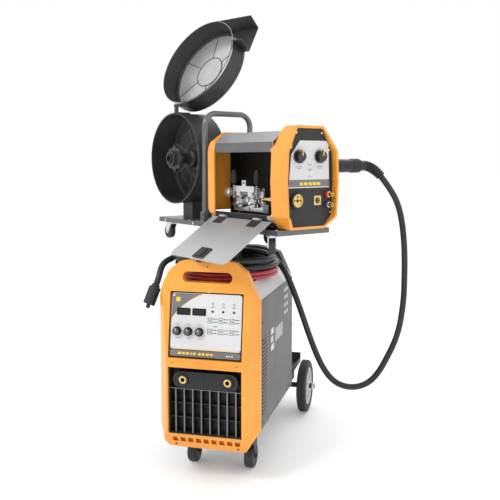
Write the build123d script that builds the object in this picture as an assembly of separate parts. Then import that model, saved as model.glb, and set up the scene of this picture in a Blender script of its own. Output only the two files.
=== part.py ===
from build123d import *
import math
import os

os.makedirs("parts", exist_ok=True)

# Millimetres, +Z up, front of the power source towards -Y.  The origin is on the floor, at the
# middle of the machine's box without its free cords.  The cart is drawn in its own datum (middle of
# the front bar at x = 0, y = 0) and the wire feeder in another (x forward along its casing, y to its
# far side), and both are then placed.
CART_X, CART_Y = -71.42, -391.82
FEEDER_YAW = -38.1          # turn of the feeder about the swivel post
SWIVEL_X, SWIVEL_Y = 0, 330  # swivel post, in the cart datum
SWIVEL_U = -26              # swivel post, along the feeder

GAP = 0.4                   # air between bodies that move past each other
FIT = 0.05                  # radial play of a shaft in its bore
KINGPIN = 3.6               # how far a caster's pin reaches into its mounting

# Power source
HALF_W = 160
FACE_HALF_W = 121           # half width of the front face, inside its chamfered sides
BEZEL_D = 64
BODY_END = 530
SIDE_Z0, SIDE_Z1 = 173, 571
ROOF_HALF_W, ROOF_Z = 124, 615
SHEET = 1.6
LEAN = 8                    # backward lean of the control panel, degrees
WINDOW_HALF_W = 115
REAR_HALF_W = 148

# Wheels
AXLE_Y, AXLE_Z, AXLE_R = 755, 100, 10
REAR_WHEEL_X, REAR_WHEEL_R, REAR_WHEEL_W = 168, 100, 36
CASTER_X, CASTER_Y, CASTER_R, CASTER_W = 95, 190, 39, 30
CASTER_TRAIL, CASTER_TOP = 25, 116

# Wire feeder
BASE_U0, BASE_U1, BASE_HALF_W = -346, 328, 102
BASE_Z0, BASE_Z1 = 765, 781
CASE_U0, CASE_U1, CASE_HALF_W = -8, 296, 94
PANEL_U = 345
FEED_CASTER_R, FEED_CASTER_W, FEED_CASTER_Z = 25, 19, 731
FEED_TRAIL = 12
DRUM_U, DRUM_Z, DRUM_R, DRUM_D = -227, 991, 155, 111
DUCT_END = -36              # where the lid's wire duct stops, beside the feeder
HUB_BORE_R = 8
LID_R, LID_D, LID_WALL = 164, 74, 3
LID_GAP = 2
LID_OPEN = 207              # how far the drum lid stands open
LID_AXIS_TURN = 3.6         # skew of the lid hinge from the feeder's length
LID_HINGE = (-208, -101, 1173)
DOOR_HINGE_Y, DOOR_HINGE_Z = -101, 809
DOOR_U0, DOOR_U1, DOOR_LEN, DOOR_T = -5, 296, 203, 1.5
DOOR_PIN_R = 2.5
DOOR_OFFSET = 3.5           # the sheet lies this far outside the hinge line
DOOR_OPEN = 123.7
DRIVE_U, DRIVE_Z, DRIVE_Y = 105, 862, -40
ROLL_R, ROLL_W, ROLL_PITCH = 15, 12, 62
HANDLE_U, HANDLE_HALF_W, HANDLE_TOP, HANDLE_R = -61, 93, 1139, 9.5

# Cables
LEAD_R, HOSE_R = 10, 6.5
COIL_X, COIL_Y = 0, 245
LEAD_COIL_IN, LEAD_COIL_OUT = 126, 170
LEAD_COIL_Z0, LEAD_COIL_Z1 = 644, 688
HOSE_COIL_IN, HOSE_COIL_OUT = 125, 169
HOSE_COIL_Z0, HOSE_COIL_Z1 = 617, 643
HORN_U, HORN_Z = 300, 968
HORN_Y0, HORN_Y1, RELIEF_Y0 = 92, 216, 275
RELIEF_BEND_R, RELIEF_BEND, RELIEF_TURN = 70, 52, 45.6

cart_place = Pos(CART_X, CART_Y, 0)
feeder_place = cart_place * Pos(SWIVEL_X, SWIVEL_Y, 0) * Rot(0, 0, FEEDER_YAW) * Pos(-SWIVEL_U, 0, 0)
nodes = {}


def keep(name, pieces, place):
    """File one node: a solid, or a list of separate solids, moved to its place."""
    if not isinstance(pieces, (list, tuple)):
        pieces = [pieces]
    solids = []
    for piece in pieces:
        solids += [solid for solid in (place * piece).solids()]
    nodes[name] = solids[0] if len(solids) == 1 else Compound(children=solids)


def block(x0, x1, y0, y1, z0, z1):
    """A box between two corners, given in either order."""
    middle = Pos((x0 + x1) / 2, (y0 + y1) / 2, (z0 + z1) / 2)
    return middle * Box(abs(x1 - x0), abs(y1 - y0), abs(z1 - z0))


def rod(center, direction, radius, length):
    """A round bar from center along direction."""
    return extrude(Plane(origin=center, z_dir=direction) * Circle(radius), length)


def ring(center, direction, outer, inner, length):
    face = Plane(origin=center, z_dir=direction) * (Circle(outer) - Circle(inner))
    return extrude(face, length)


def prism_y(points, y0, y1, radii=None):
    """Extrude an XZ outline from y0 to y1."""
    face = Plane(origin=(0, y1, 0), x_dir=(1, 0, 0), z_dir=(0, -1, 0)) * outline(points, radii)
    return extrude(face, y1 - y0)


def prism_x(points, x0, x1, radii=None):
    """Extrude a YZ outline from x0 to x1."""
    face = Plane(origin=(x0, 0, 0), x_dir=(0, 1, 0), z_dir=(1, 0, 0)) * outline(points, radii)
    return extrude(face, x1 - x0)


def prism_z(points, z0, z1, radii=None):
    return extrude(Pos(0, 0, z0) * outline(points, radii), z1 - z0)


def outline(points, radius=None):
    face = make_face(Polyline(*points, close=True))
    if radius:
        face = fillet(face.vertices(), radius)
    return face


def mirrored(points):
    """A right-hand run of (x, z) points, bottom to top, closed with its mirror image."""
    return points + [(-x, z) for x, z in reversed(points)]


def solid_of(shape):
    return max(shape.solids(), key=lambda s: s.volume)


# ---------------------------------------------------------------- power source

def arch(half_w, top, base):
    """Right half of a bezel's outline, with its chamfered shoulders and arched top."""
    return [(half_w - 39, base), (half_w, base + 62), (half_w, 572), (half_w - 38, 655),
            (half_w - 72, top - 8), (half_w - 120, top)]


def chassis():
    tray = block(-150, 150, 66, 526, 167, 170)
    for x in (-CASTER_X, CASTER_X):
        tray += block(x - 22, x + 22, 70, 800, 116, 167)
        tray -= block(x - 19, x + 19, 73, 797, 115, 164)
        pivot_y = CASTER_Y - CASTER_TRAIL
        tray += block(x - 22, x + 22, pivot_y - 30, pivot_y + 30, CASTER_TOP, CASTER_TOP + 4)
        tray -= rod((x, pivot_y, CASTER_TOP - 1), (0, 0, 1), CASTER_W * 0.2 + FIT, 6)
        ear = block(x - 4, x + 4, AXLE_Y - 22, AXLE_Y + 22, 82, 164)
        tray += ear
    platform = block(-132, 132, 536, 852, 167, 171)
    platform += block(-132, -128, 536, 852, 171, 184)
    platform += block(128, 132, 536, 852, 171, 184)
    platform += block(-132, 132, 848, 852, 171, 205)
    tray += platform
    tray += block(-120, 120, 520, 540, 150, 170)
    tray -= rod((-200, AXLE_Y, AXLE_Z), (1, 0, 0), AXLE_R + FIT, 400)
    saddle = block(-95, 95, 574, 650, 556, 562) + block(-95, 95, 572.4, 576, 540, 576)
    saddle -= rod((0, 690, 550), (0, 0, 1), 92, 30)
    axle = rod((-206, AXLE_Y, AXLE_Z), (1, 0, 0), AXLE_R, 412)
    return [solid_of(tray), saddle, axle]


def front_bezel():
    body = prism_y(mirrored(arch(HALF_W, 690, 111)), 0, BEZEL_D, 12)
    profile = [(36, 100), (12, 150), (0, 168), (0, 385), (29, 592), (44, 700), (64, 700), (64, 100)]
    body &= prism_x(profile, -HALF_W, HALF_W)
    plan = [(-FACE_HALF_W, 0), (FACE_HALF_W, 0), (HALF_W, 58), (HALF_W, 64), (-HALF_W, 64), (-HALF_W, 58)]
    body &= prism_z(plan, 100, 700)
    body -= block(-WINDOW_HALF_W, WINDOW_HALF_W, -5, 70, 160, 366)
    body -= block(-WINDOW_HALF_W, WINDOW_HALF_W, -5, 70, 394, 592)
    slot = Plane(origin=(0, 70, 636), x_dir=(1, 0, 0), z_dir=(0, -1, 0)) * SlotOverall(156, 32)
    body -= extrude(slot, 80)
    for i in range(9):
        x = (i - 4) * 24.5
        body -= block(x - 8.5, x + 8.5, -5, 34, 131, 147)
    for side in (-1, 1):
        body -= block(side * 116, side * 142, 48, 66, 200, 560)
        body -= rod((side * 98, -5, 121), (0, 1, 0), 4, 60)
        body -= rod((side * 101, -5, 380), (0, 1, 0), 2.2, 30)
    body -= rod((0, 30, 668), (0, 1, 0), 3, 40)
    boss = ring((0, 38.5, 668), (0, 1, 0), 8, 3, 8)
    return solid_of(body + boss)


def rear_bezel():
    outer = mirrored(arch(REAR_HALF_W, 676, 171.4))
    body = prism_y(outer, BODY_END + GAP, BODY_END + 42, 12)
    slot = Plane(origin=(0, 600, 634), x_dir=(1, 0, 0), z_dir=(0, -1, 0)) * SlotOverall(156, 30)
    body -= extrude(slot, 80)
    body -= block(-118, 118, 520, BODY_END + 37, 200, 590)
    grille = rod((0, 520, 330), (0, 1, 0), 82, 80)
    body -= grille
    for radius in (78, 58, 38, 18):
        body += ring((0, BODY_END + 38, 330), (0, 1, 0), radius + 5, radius, 4)
    for angle in (0, 60, 120):
        bar = Pos(0, BODY_END + 40, 330) * Rot(0, angle, 0) * Box(168, 3.9, 4)
        body += bar
    body -= rod((-90, 520, 500), (0, 1, 0), 6 + FIT, 80)
    return solid_of(body)


def side_panel(side):
    x_out, x_in = side * HALF_W, side * (HALF_W - SHEET)
    x0, x1 = min(x_out, x_in), max(x_out, x_in)
    panel = block(x0, x1, BEZEL_D + GAP, BODY_END, SIDE_Z0, SIDE_Z1)
    x2 = side * (HALF_W - 12)
    panel += block(min(x_out, x2), max(x_out, x2), BEZEL_D + GAP, BODY_END, SIDE_Z0, SIDE_Z0 + SHEET)
    for i in range(21):
        z = 214 + i * 11.4
        panel -= block(x0 - 5, x1 + 5, 78, 138, z, z + 5)
    for y, z in PANEL_SCREWS:
        panel -= rod((side * (HALF_W - 10), y, z), (side, 0, 0), 2.5, 20)
    return panel


PANEL_SCREWS = [(76, 500), (BODY_END - 12, 540), (BODY_END - 12, 400), (76, 196), (300, 184), (BODY_END - 40, 184)]


def panel_screws(side):
    """Button-head screws of one side panel, in their holes."""
    screws = []
    for y, z in PANEL_SCREWS:
        shank = rod((side * (HALF_W - 6), y, z), (side, 0, 0), 2.45, 6 + 0.05)
        head = rod((side * (HALF_W + 0.05), y, z), (side, 0, 0), 4.5, 2)
        head = fillet(head.edges().group_by(Axis.X)[-1 if side > 0 else 0], 1.2)
        screws.append(shank + head)
    return screws


def roof_panel():
    z0 = SIDE_Z1 + 0.3
    outer = [(-HALF_W, z0), (-ROOF_HALF_W, ROOF_Z), (ROOF_HALF_W, ROOF_Z), (HALF_W, z0)]
    inner = [(HALF_W - SHEET, z0), (ROOF_HALF_W - 0.8, ROOF_Z - SHEET), (-ROOF_HALF_W + 0.8, ROOF_Z - SHEET),
             (-HALF_W + SHEET, z0)]
    roof = prism_y(outer + inner, BEZEL_D + GAP, BODY_END)
    return roof


def on_panel(x, z, out=0.0):
    """A point of the leaning control panel's front face, out mm in front of it."""
    tilt = math.radians(LEAN)
    y = 6 + (z - 394) * math.tan(tilt)
    return (x, y - out * math.cos(tilt), z + out * math.sin(tilt))


PANEL_NORMAL = (0, -math.cos(math.radians(LEAN)), math.sin(math.radians(LEAN)))
KNOBS = [(-89, 474), (-54, 474), (-19, 474)]
BUTTONS = [(20, 536), (53, 536), (86, 536)]
DISPLAYS = [(-71, 532), (-22, 532)]


def panel_plane(x, z, out=0.0):
    return Plane(origin=on_panel(x, z, out), x_dir=(1, 0, 0), z_dir=PANEL_NORMAL)


def control_panel():
    middle = panel_plane(0, 493.5)
    plate = extrude(middle * Rectangle(2 * WINDOW_HALF_W - 0.4, 194), -3)
    for x, z in DISPLAYS:
        plate -= extrude(panel_plane(x, z) * Rectangle(39, 19), -1.2)
    for x, z in KNOBS:
        plate -= extrude(panel_plane(x, z, 1) * Circle(3 + FIT), -6)
    for x, z in BUTTONS:
        plate -= extrude(panel_plane(x, z, 1) * Circle(3.5 + 0.15), -6)
    frame = extrude(middle.offset(-3) * (Rectangle(229.6, 194) - Rectangle(214, 178)), -12)
    return plate + frame


def knob(center, direction, skirt, grip, height, shaft):
    """A fluted knob on its shaft, standing GAP off the panel."""
    plane = Plane(origin=center, z_dir=direction)
    body = extrude(plane.offset(GAP) * Circle(skirt), height * 0.3)
    body += extrude(plane.offset(GAP) * Circle(grip), height)
    body = chamfer(body.edges().group_by(Axis((0, 0, 0), direction))[-1], 1.2)
    for i in range(9):
        angle = math.radians(i * 40)
        spot = Pos(grip * 1.04 * math.cos(angle), grip * 1.04 * math.sin(angle), 0)
        body -= extrude(plane.offset(GAP + height * 0.35) * spot * Circle(grip * 0.13), height)
    return body + extrude(plane.offset(GAP) * Circle(shaft), -12)


def button(x, z):
    cap = extrude(panel_plane(x, z, 2.2) * Circle(3.5), -9)
    collar = extrude(panel_plane(x, z, -4.8) * Circle(5), -2)
    return cap + collar


def front_grille():
    body = block(-114.8, 114.8, 40, 43, 160.4, 365.6)
    rim = block(-114.8, 114.8, 8, 43, 160.4, 365.6) - block(-112, 112, 0, 50, 163, 363)
    body += rim
    for i in range(8):
        x = (i - 3.5) * 27
        body += block(x - 1.5, x + 1.5, 14, 40, 162, 300)
    for z in (208, 252):
        body += block(-112, 112, 22, 40, z - 1.5, z + 1.5)
    plate = Plane(origin=(0, 40, 327), x_dir=(1, 0, 0), z_dir=(0, -1, 0)) * SlotOverall(204, 50)
    body += extrude(plate, 30)
    for x in (-70, 70):
        body -= rod((x, 0, 327), (0, 1, 0), 12.1, 60)
    return solid_of(body)


def output_sockets():
    sockets = []
    for x in (-70, 70):
        socket = ring((x, 6, 327), (0, 1, 0), 12, 6.5, 40)
        key = block(x - 1.5, x + 1.5, 10, 46, 327 + 6.2, 327 + 9)
        sockets.append(socket - key)
    return sockets


def power_module():
    """Transformer, finned heat sink and control board, all inside the casing."""
    core = block(-70, 70, 200, 320, 171, 290) - block(-35, 35, 190, 330, 200, 262)
    winding = ring((0, 190, 231), (0, 1, 0), 30, 14, 140)
    sink = block(-90, 90, 360, 480, 300, 312)
    for i in range(13):
        x = -84 + i * 14
        sink += block(x - 1.5, x + 1.5, 360, 480, 240, 300)
    board = block(-120, 120, 110, 330, 460, 462)
    return [core, winding, sink, board]


def fan_rotor():
    hub = rod((0, 500, 330), (0, 1, 0), 24, 26)
    for i in range(7):
        blade = Pos(46, 0, 0) * Rot(28, 0, 0) * Box(52, 2.4, 26)
        hub += Pos(0, 513, 330) * Rot(0, i * 360 / 7, 0) * blade
    return solid_of(hub)


def main_switch():
    shaft = rod((-90, 545, 500), (0, 1, 0), 6, BODY_END + 44 - 545)
    grip = rod((-90, BODY_END + 42 + GAP, 500), (0, 1, 0), 19, 8)
    grip += block(-94, -86, BODY_END + 46, BODY_END + 62, 482, 518)
    return shaft + grip


def swivel_post():
    post = rod((SWIVEL_X, SWIVEL_Y, ROOF_Z + 0.02), (0, 0, 1), 36, 6)
    post += rod((SWIVEL_X, SWIVEL_Y, ROOF_Z + 0.02), (0, 0, 1), 27, 752 - ROOF_Z)
    post += rod((SWIVEL_X, SWIVEL_Y, 740), (0, 0, 1), 12.5, 32)
    return post


def caster_fork(x, y, top, wheel_r, wheel_w, axle_z, trail, heading):
    """A swivel fork whose wheel trails along heading, with its axle bolt."""
    place = Pos(x, y, 0) * Rot(0, 0, heading)
    inner = wheel_w / 2 + 1
    fork = rod((0, 0, top - 4 - GAP), (0, 0, 1), wheel_w * 0.8, 4)
    fork += rod((0, 0, top - 4), (0, 0, 1), wheel_w * 0.2, 4 + KINGPIN)
    crown = top - 4 - GAP
    fork += block(-wheel_w * 0.8, trail + 8, -inner - 2.5, inner + 2.5, crown - 2.5, crown)
    for side in (-1, 1):
        y0 = side * inner
        y1 = side * (inner + 2.5)
        points = [(-wheel_w * 0.8, crown), (trail + 8, crown), (trail + 8, axle_z - 6), (trail - 8, axle_z - 6)]
        fork += prism_y(points, min(y0, y1), max(y0, y1))
    fork += rod((trail, -inner - 5, axle_z), (0, 1, 0), wheel_r * 0.14, 2 * inner + 10)
    return place * fork


def caster_wheel(x, y, wheel_r, wheel_w, axle_z, trail, heading):
    place = Pos(x, y, 0) * Rot(0, 0, heading)
    wheel = ring((trail, -wheel_w / 2, axle_z), (0, 1, 0), wheel_r, wheel_r * 0.14 + FIT, wheel_w)
    wheel = fillet([e for e in wheel.edges() if e.geom_type == GeomType.CIRCLE and e.radius > wheel_r - 1], wheel_w * 0.22)
    return place * wheel


def rear_tyre(side):
    tyre = ring((side * REAR_WHEEL_X - REAR_WHEEL_W / 2, AXLE_Y, AXLE_Z), (1, 0, 0), REAR_WHEEL_R, 72, REAR_WHEEL_W)
    big = [e for e in tyre.edges() if e.geom_type == GeomType.CIRCLE and e.radius > 90]
    tyre = fillet(big, 9)
    for i in (-1, 0, 1):
        x = side * REAR_WHEEL_X + i * 6
        tyre -= ring((x - 1, AXLE_Y, AXLE_Z), (1, 0, 0), REAR_WHEEL_R + 5, REAR_WHEEL_R - 2.5, 2)
    rim_x = side * REAR_WHEEL_X
    rim = ring((rim_x - 16, AXLE_Y, AXLE_Z), (1, 0, 0), 71.95, 66, 32)
    rim += ring((rim_x - 3, AXLE_Y, AXLE_Z), (1, 0, 0), 67, 20, 4)
    rim += ring((rim_x - 17, AXLE_Y, AXLE_Z), (1, 0, 0), 21, AXLE_R + FIT, 36)
    return [tyre, rim]


# ---------------------------------------------------------------- wire feeder

def feeder_base():
    base = block(BASE_U0, BASE_U1, -BASE_HALF_W, BASE_HALF_W, BASE_Z0, BASE_Z1)
    base -= block(BASE_U0 + 3, BASE_U1 - 3, -BASE_HALF_W + 3, BASE_HALF_W - 3, BASE_Z0 - 1, BASE_Z1 - 3)
    base += block(SWIVEL_U - 40, SWIVEL_U + 40, -BASE_HALF_W + 2, BASE_HALF_W - 2, BASE_Z0, BASE_Z1 - 1)
    base += rod((SWIVEL_U, 0, 752 + GAP), (0, 0, 1), 38, 20)
    base -= rod((SWIVEL_U, 0, 740), (0, 0, 1), 12.5 + FIT, 60)
    for u in NEAR_CASTERS:
        x, y, heading = NEAR_CASTERS[u]
        base += rod((x, y, BASE_Z0), (0, 0, 1), 14, 13)
        base -= rod((x, y, BASE_Z0 - 1), (0, 0, 1), FEED_CASTER_W * 0.2 + FIT, 6)
    for u in FAR_CASTERS:
        inner = FEED_CASTER_W / 2 + 1
        base += block(u - 14, u + 14, 66 - 4, 94 + 4, 762, BASE_Z1 - 1)
        for side in (-1, 1):
            y0 = 80 + side * inner
            y1 = 80 + side * (inner + 2.5)
            base += block(u - 9, u + 9, min(y0, y1), max(y0, y1), FEED_CASTER_Z - 7, 766)
        base += rod((u, 80 - inner - 1, FEED_CASTER_Z), (0, 1, 0), FEED_CASTER_R * 0.14, 2 * inner + 2)
    return solid_of(base)


NEAR_CASTERS = {"rear": (-296, -80, 180), "front": (284.5, -87, 142.7)}
FAR_CASTERS = (-308, 66)


def feeder_handle():
    z0 = BASE_Z1 + 0.02
    path = FilletPolyline((HANDLE_U, -HANDLE_HALF_W, z0), (HANDLE_U, -HANDLE_HALF_W, HANDLE_TOP),
                          (HANDLE_U, HANDLE_HALF_W, HANDLE_TOP), (HANDLE_U, HANDLE_HALF_W, z0), radius=42)
    start = Plane(origin=path @ 0, z_dir=path % 0)
    tube = sweep(start * Circle(HANDLE_R), path=path)
    for side in (-1, 1):
        y = side * HANDLE_HALF_W
        foot = block(HANDLE_U - 22, HANDLE_U + 22, y - 9, y + 9, z0, z0 + 4)
        cheek = block(HANDLE_U - 11, HANDLE_U + 11, y + side * 7, y + side * 11, z0 - 12, z0 + 34)
        cheek &= block(-500, 500, -104.5, 104.5, z0, 1000)
        tube += foot + cheek
        for z in (z0 + 10, z0 + 24):
            tube += rod((HANDLE_U, y + side * 8, z), (0, side, 0), 5, 6)
    return tube


def case_half(grow):
    """Right half of the feeder casing's section, bottom to top, as (y, z)."""
    w = CASE_HALF_W + grow
    return [(w - 24, 783 - grow / 2), (w, 812), (w, 1040), (w - 36, 1072 + grow)]


def feeder_shell():
    outer = mirrored(case_half(0))
    inner = mirrored([(y - SHEET, z + s) for (y, z), s in zip(case_half(0), (SHEET, 0, 0, -SHEET))])
    tube = prism_x(outer, CASE_U0, CASE_U1) - prism_x(inner, CASE_U0 - 1, CASE_U1 + 1)
    tube -= block(CASE_U0 - 1, CASE_U1 + 1, -110, -60, 822, 1010)
    tube += block(CASE_U0, CASE_U1, -CASE_HALF_W, -CASE_HALF_W + 12, 1010, 1014)
    tube += block(CASE_U0 + 10, CASE_U1 - 25, -CASE_HALF_W + 2, -CASE_HALF_W + 20, 816, 822)
    divider = block(CASE_U0 + 6, CASE_U1 - 6, 26, 28, 786, 1068)
    divider -= rod((DRIVE_U, 0, DRIVE_Z), (0, 1, 0), 26, 60)
    tube += divider
    for u in HINGE_US:
        tube += rod((u - 19, DOOR_HINGE_Y, DOOR_HINGE_Z), (1, 0, 0), DOOR_PIN_R, 38)
        for u0 in (u - 19, u + 13.4):
            tube += rod((u0, DOOR_HINGE_Y, DOOR_HINGE_Z), (1, 0, 0), 3.3, 5.6)
            tube += block(u0, u0 + 5.6, DOOR_HINGE_Y, -CASE_HALF_W + 1, DOOR_HINGE_Z - 3.3, DOOR_HINGE_Z + 3.3)
    return solid_of(tube)


HINGE_US = (53, 229)


FRONT_BEZEL_OUTLINE = [(68, 782), (98, 820), (104, 921), (100, 1014), (54, 1087)]


def feeder_bezels():
    """Rear and front moulded frames of the feeder casing."""
    rear = prism_x(mirrored([(70, 784), (98, 816), (100, 1010), (94, 1044), (56, 1076)]), -40, 2, 6)
    profile = [(-8, 780), (-34, 830), (-34, 1030), (-8, 1080), (2, 1080), (2, 780)]
    rear &= prism_y(profile, -120, 120)
    rear -= prism_x(mirrored([(66, 790), (90, 818), (90, 1034), (54, 1064)]), -30, 10)
    rear -= rod((-50, -22, 880), (1, 0, 0), 9, 60)
    rear -= prism_x(mirrored(case_half(0.3)), CASE_U0, 10)

    front = prism_x(mirrored(FRONT_BEZEL_OUTLINE), 270, 367, 10)
    profile = [(272, 806), (281, 780), (342, 780), (367, 815), (367, 1010), (352, 1090), (309, 1090), (272, 1038),
               (296, 1008), (296, 830)]
    front &= prism_y(profile, -120, 120)
    front -= prism_x(mirrored([(62, 790), (90, 822), (96, 921), (92, 1010), (50, 1079)]), PANEL_U, 400, 8)
    front -= prism_x(mirrored([(60, 794), (88, 824), (92, 921), (88, 1010), (48, 1072)]), 200, 340, 8)
    front -= prism_x(mirrored([(54, 798), (82, 828), (86, 921), (82, 1006), (44, 1066)]), 200, 400)
    front -= prism_x(mirrored(case_half(0.3)), 260, CASE_U1)
    return [solid_of(rear), solid_of(front)]


def feeder_panel():
    """Dark front panel with its printed face plate standing on it."""
    sheet = prism_x(mirrored([(61.2, 791), (89, 822.4), (95, 921), (91, 1009.4), (49.2, 1078)]),
                    PANEL_U + 0.1, PANEL_U + 3, 8.6)
    plate = [(-80, 905), (80, 905), (78, 1043), (-37, 1043), (-70, 1002)]
    inside = prism_x(mirrored([(61, 791), (89, 822), (95, 921), (91, 1009), (49, 1078)]), PANEL_U, PANEL_U + 9)
    sheet += prism_x(plate, PANEL_U + 2, PANEL_U + 4) & inside
    for y, z in FEEDER_KNOBS:
        sheet -= rod((PANEL_U - 5, y, z), (1, 0, 0), 3 + FIT, 20)
    y, z = TOGGLE
    sheet -= block(PANEL_U - 5, PANEL_U + 10, y - 3, y + 3, z - 9, z + 9)
    y, z = EURO
    sheet -= rod((PANEL_U - 5, y, z), (1, 0, 0), 20, 20)
    y, z = CONTROL_SOCKET
    sheet -= block(PANEL_U - 5, PANEL_U + 10, y - 14, y + 14, z - 14, z + 14)
    for y, z in COUPLINGS:
        sheet -= rod((PANEL_U - 5, y, z), (1, 0, 0), 7, 20)
    return sheet


FEEDER_KNOBS = [(-41, 997), (41, 997)]
TOGGLE = (1, 955)
EURO = (-46, 868)
CONTROL_SOCKET = (33, 867)
COUPLINGS = [(72, 884), (72, 853)]


def feeder_sockets():
    """Torch socket, control socket and the two water couplings."""
    u = PANEL_U
    y, z = EURO
    torch = ring((u - 20, y, z), (1, 0, 0), 19.9, 5, 26) + ring((u + 3.1, y, z), (1, 0, 0), 24, 16, 6)
    y, z = CONTROL_SOCKET
    control = block(u - 15, u + 5, y - 13.9, y + 13.9, z - 13.9, z + 13.9)
    control -= rod((u - 4, y, z), (1, 0, 0), 9, 20)
    pieces = [torch, control]
    for y, z in COUPLINGS:
        body = rod((u - 15, y, z), (1, 0, 0), 6.9, 20) + rod((u + 3.1, y, z), (1, 0, 0), 8.5, 11)
        body += rod((u + 14, y, z), (1, 0, 0), 6, 14)
        pieces.append(body - rod((u + 10, y, z), (1, 0, 0), 3, 30))
    return pieces


def toggle_switch():
    y, z = TOGGLE
    lever = rod((PANEL_U - 3, y, z - 1), (1, 0, 0.35), 2.8, 8)
    lever += rod((PANEL_U - 3, y, z - 1), (1, 0, 0.35), 2.2, 19)
    return lever


def roll_places():
    """(x, z) of the two driven rolls and of the two pressure rolls above them."""
    half = ROLL_PITCH / 2
    lower = [(DRIVE_U - half, DRIVE_Z - 12), (DRIVE_U + half, DRIVE_Z - 12)]
    upper = [(x, z + 2 * ROLL_R + 1.2) for x, z in lower]
    return lower, upper


def drive_unit():
    """Cast feed plate with roll spindles, wire guides and the motor behind it."""
    plate = block(DRIVE_U - 80, DRIVE_U + 78, DRIVE_Y + 4, DRIVE_Y + 16, 824, 900)
    plate += block(DRIVE_U - 76, DRIVE_U + 74, DRIVE_Y + 15.9, 25.8, 822, 860)
    lower, upper = roll_places()
    for x, z in lower:
        plate += rod((x, DRIVE_Y + 5, z), (0, -1, 0), 5, 22)
    for x in (DRIVE_U - 64, DRIVE_U, DRIVE_U + 62):
        guide = rod((x - 7, WIRE_Y, DRIVE_Z + 3.6), (1, 0, 0), 3.5, 14)
        guide += block(x - 6, x + 6, WIRE_Y - 2, DRIVE_Y + 5, DRIVE_Z - 8, DRIVE_Z + 3)
        plate += guide - rod((x - 10, WIRE_Y, DRIVE_Z + 3.6), (1, 0, 0), 1.5, 24)
    plate += rod((DRIVE_U, DRIVE_Y + 5, ARM_PIVOT_Z), (0, -1, 0), 4, 19)
    for x in TENSION_US:
        for ear in (x - 9, x + 6):
            plate += block(ear, ear + 3, LEVER_Y - 5, DRIVE_Y + 5, LEVER_Z - 5, LEVER_Z + 5)
        plate += rod((x - 9, LEVER_Y, LEVER_Z), (1, 0, 0), 2, 18)
    motor = rod((DRIVE_U, 28.2, DRIVE_Z), (0, 1, 0), 25.5, 58)
    return [solid_of(plate), motor]


ARM_PIVOT_Z = 914
WIRE_Y = DRIVE_Y - 3
LEVER_Y, LEVER_Z = DRIVE_Y - 10.5, 844
TENSION_US = (45, 165)


def drive_roll(x, z):
    roll = ring((x, DRIVE_Y + 3, z), (0, -1, 0), ROLL_R, 5 + FIT, ROLL_W)
    for y in (DRIVE_Y - 0.5, DRIVE_Y - 5.5):
        roll -= ring((x, y, z), (0, -1, 0), ROLL_R + 2, ROLL_R - 1, 2)
    return roll


def pressure_arm():
    """Bridge that carries both pressure rolls and swings up about its middle pin."""
    lower, upper = roll_places()
    arm = block(DRIVE_U - 52, DRIVE_U + 52, DRIVE_Y - 17, DRIVE_Y - 11, 886, 904)
    arm += block(DRIVE_U - 10, DRIVE_U + 10, DRIVE_Y - 17, DRIVE_Y - 11, 886, 922)
    for x, z in upper:
        arm += rod((x, DRIVE_Y - 12, z), (0, 1, 0), 5, 15)
        arm += block(x - 9, x + 9, DRIVE_Y - 17, DRIVE_Y - 11, z - 8, 900)
    arm -= rod((DRIVE_U, DRIVE_Y - 30, ARM_PIVOT_Z), (0, 1, 0), 4 + FIT, 60)
    return arm


def tension_lever(x):
    """Threaded pressure spindle with its hand knob, on a pivot at the foot."""
    lever = rod((x, LEVER_Y, LEVER_Z), (0, 0, 1), 3, 70)
    lever += rod((x, LEVER_Y, 912), (0, 0, 1), 9, 34)
    lever += rod((x, LEVER_Y, 946), (0, 0, 1), 7, 8)
    lever += block(x - 5, x + 5, LEVER_Y - 4.5, LEVER_Y + 4.5, LEVER_Z - 4.5, LEVER_Z + 4.5)
    return lever - rod((x - 9, LEVER_Y, LEVER_Z), (1, 0, 0), 2 + FIT, 18)


def drum_base():
    y0 = -DRUM_D
    shell = ring((DRUM_U, y0, DRUM_Z), (0, 1, 0), DRUM_R, DRUM_R - 3, DRUM_D)
    back = ring((DRUM_U, -4, DRUM_Z), (0, 1, 0), DRUM_R, HUB_BORE_R + FIT, 4)
    shell += back
    for i in range(8):
        rib = Pos(DRUM_U, -5.5, DRUM_Z) * Rot(0, i * 45, 0) * Pos(93, 0, 0) * Box(118, 3.2, 2.4)
        shell += rib
    shell += ring((DRUM_U, -8, DRUM_Z), (0, 1, 0), 40, HUB_BORE_R + FIT, 6)
    foot = block(DRUM_U - 26, DRUM_U + 34, -58, 24, BASE_Z1 + 0.02, 846)
    foot -= rod((DRUM_U, -200, DRUM_Z), (0, 1, 0), DRUM_R - 1.5, 400)
    shell += foot
    return solid_of(shell)


def lid_axis():
    turn = math.radians(LID_AXIS_TURN)
    return (math.cos(turn), math.sin(turn), 0)


def lid_bracket():
    """Steel strap from the drum's top to the lid hinge."""
    hx, hy, hz = LID_HINGE
    crown = DRUM_Z + DRUM_R
    strap = block(hx - 24, hx, -105, -55, crown - 4, crown + 3.5)
    strap -= rod((DRUM_U, -200, DRUM_Z), (0, 1, 0), DRUM_R + 0.02, 400)
    post = block(hx - 24, hx - 9, -105, -97, crown + 1, hz)
    pin = Plane(origin=LID_HINGE, x_dir=(0, 0, 1), z_dir=lid_axis())
    knuckle = extrude(pin.offset(-24) * Circle(5), 18)
    shaft = extrude(pin.offset(-24) * Circle(2.5), 42)
    return solid_of(strap + post + knuckle + shaft)


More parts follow.
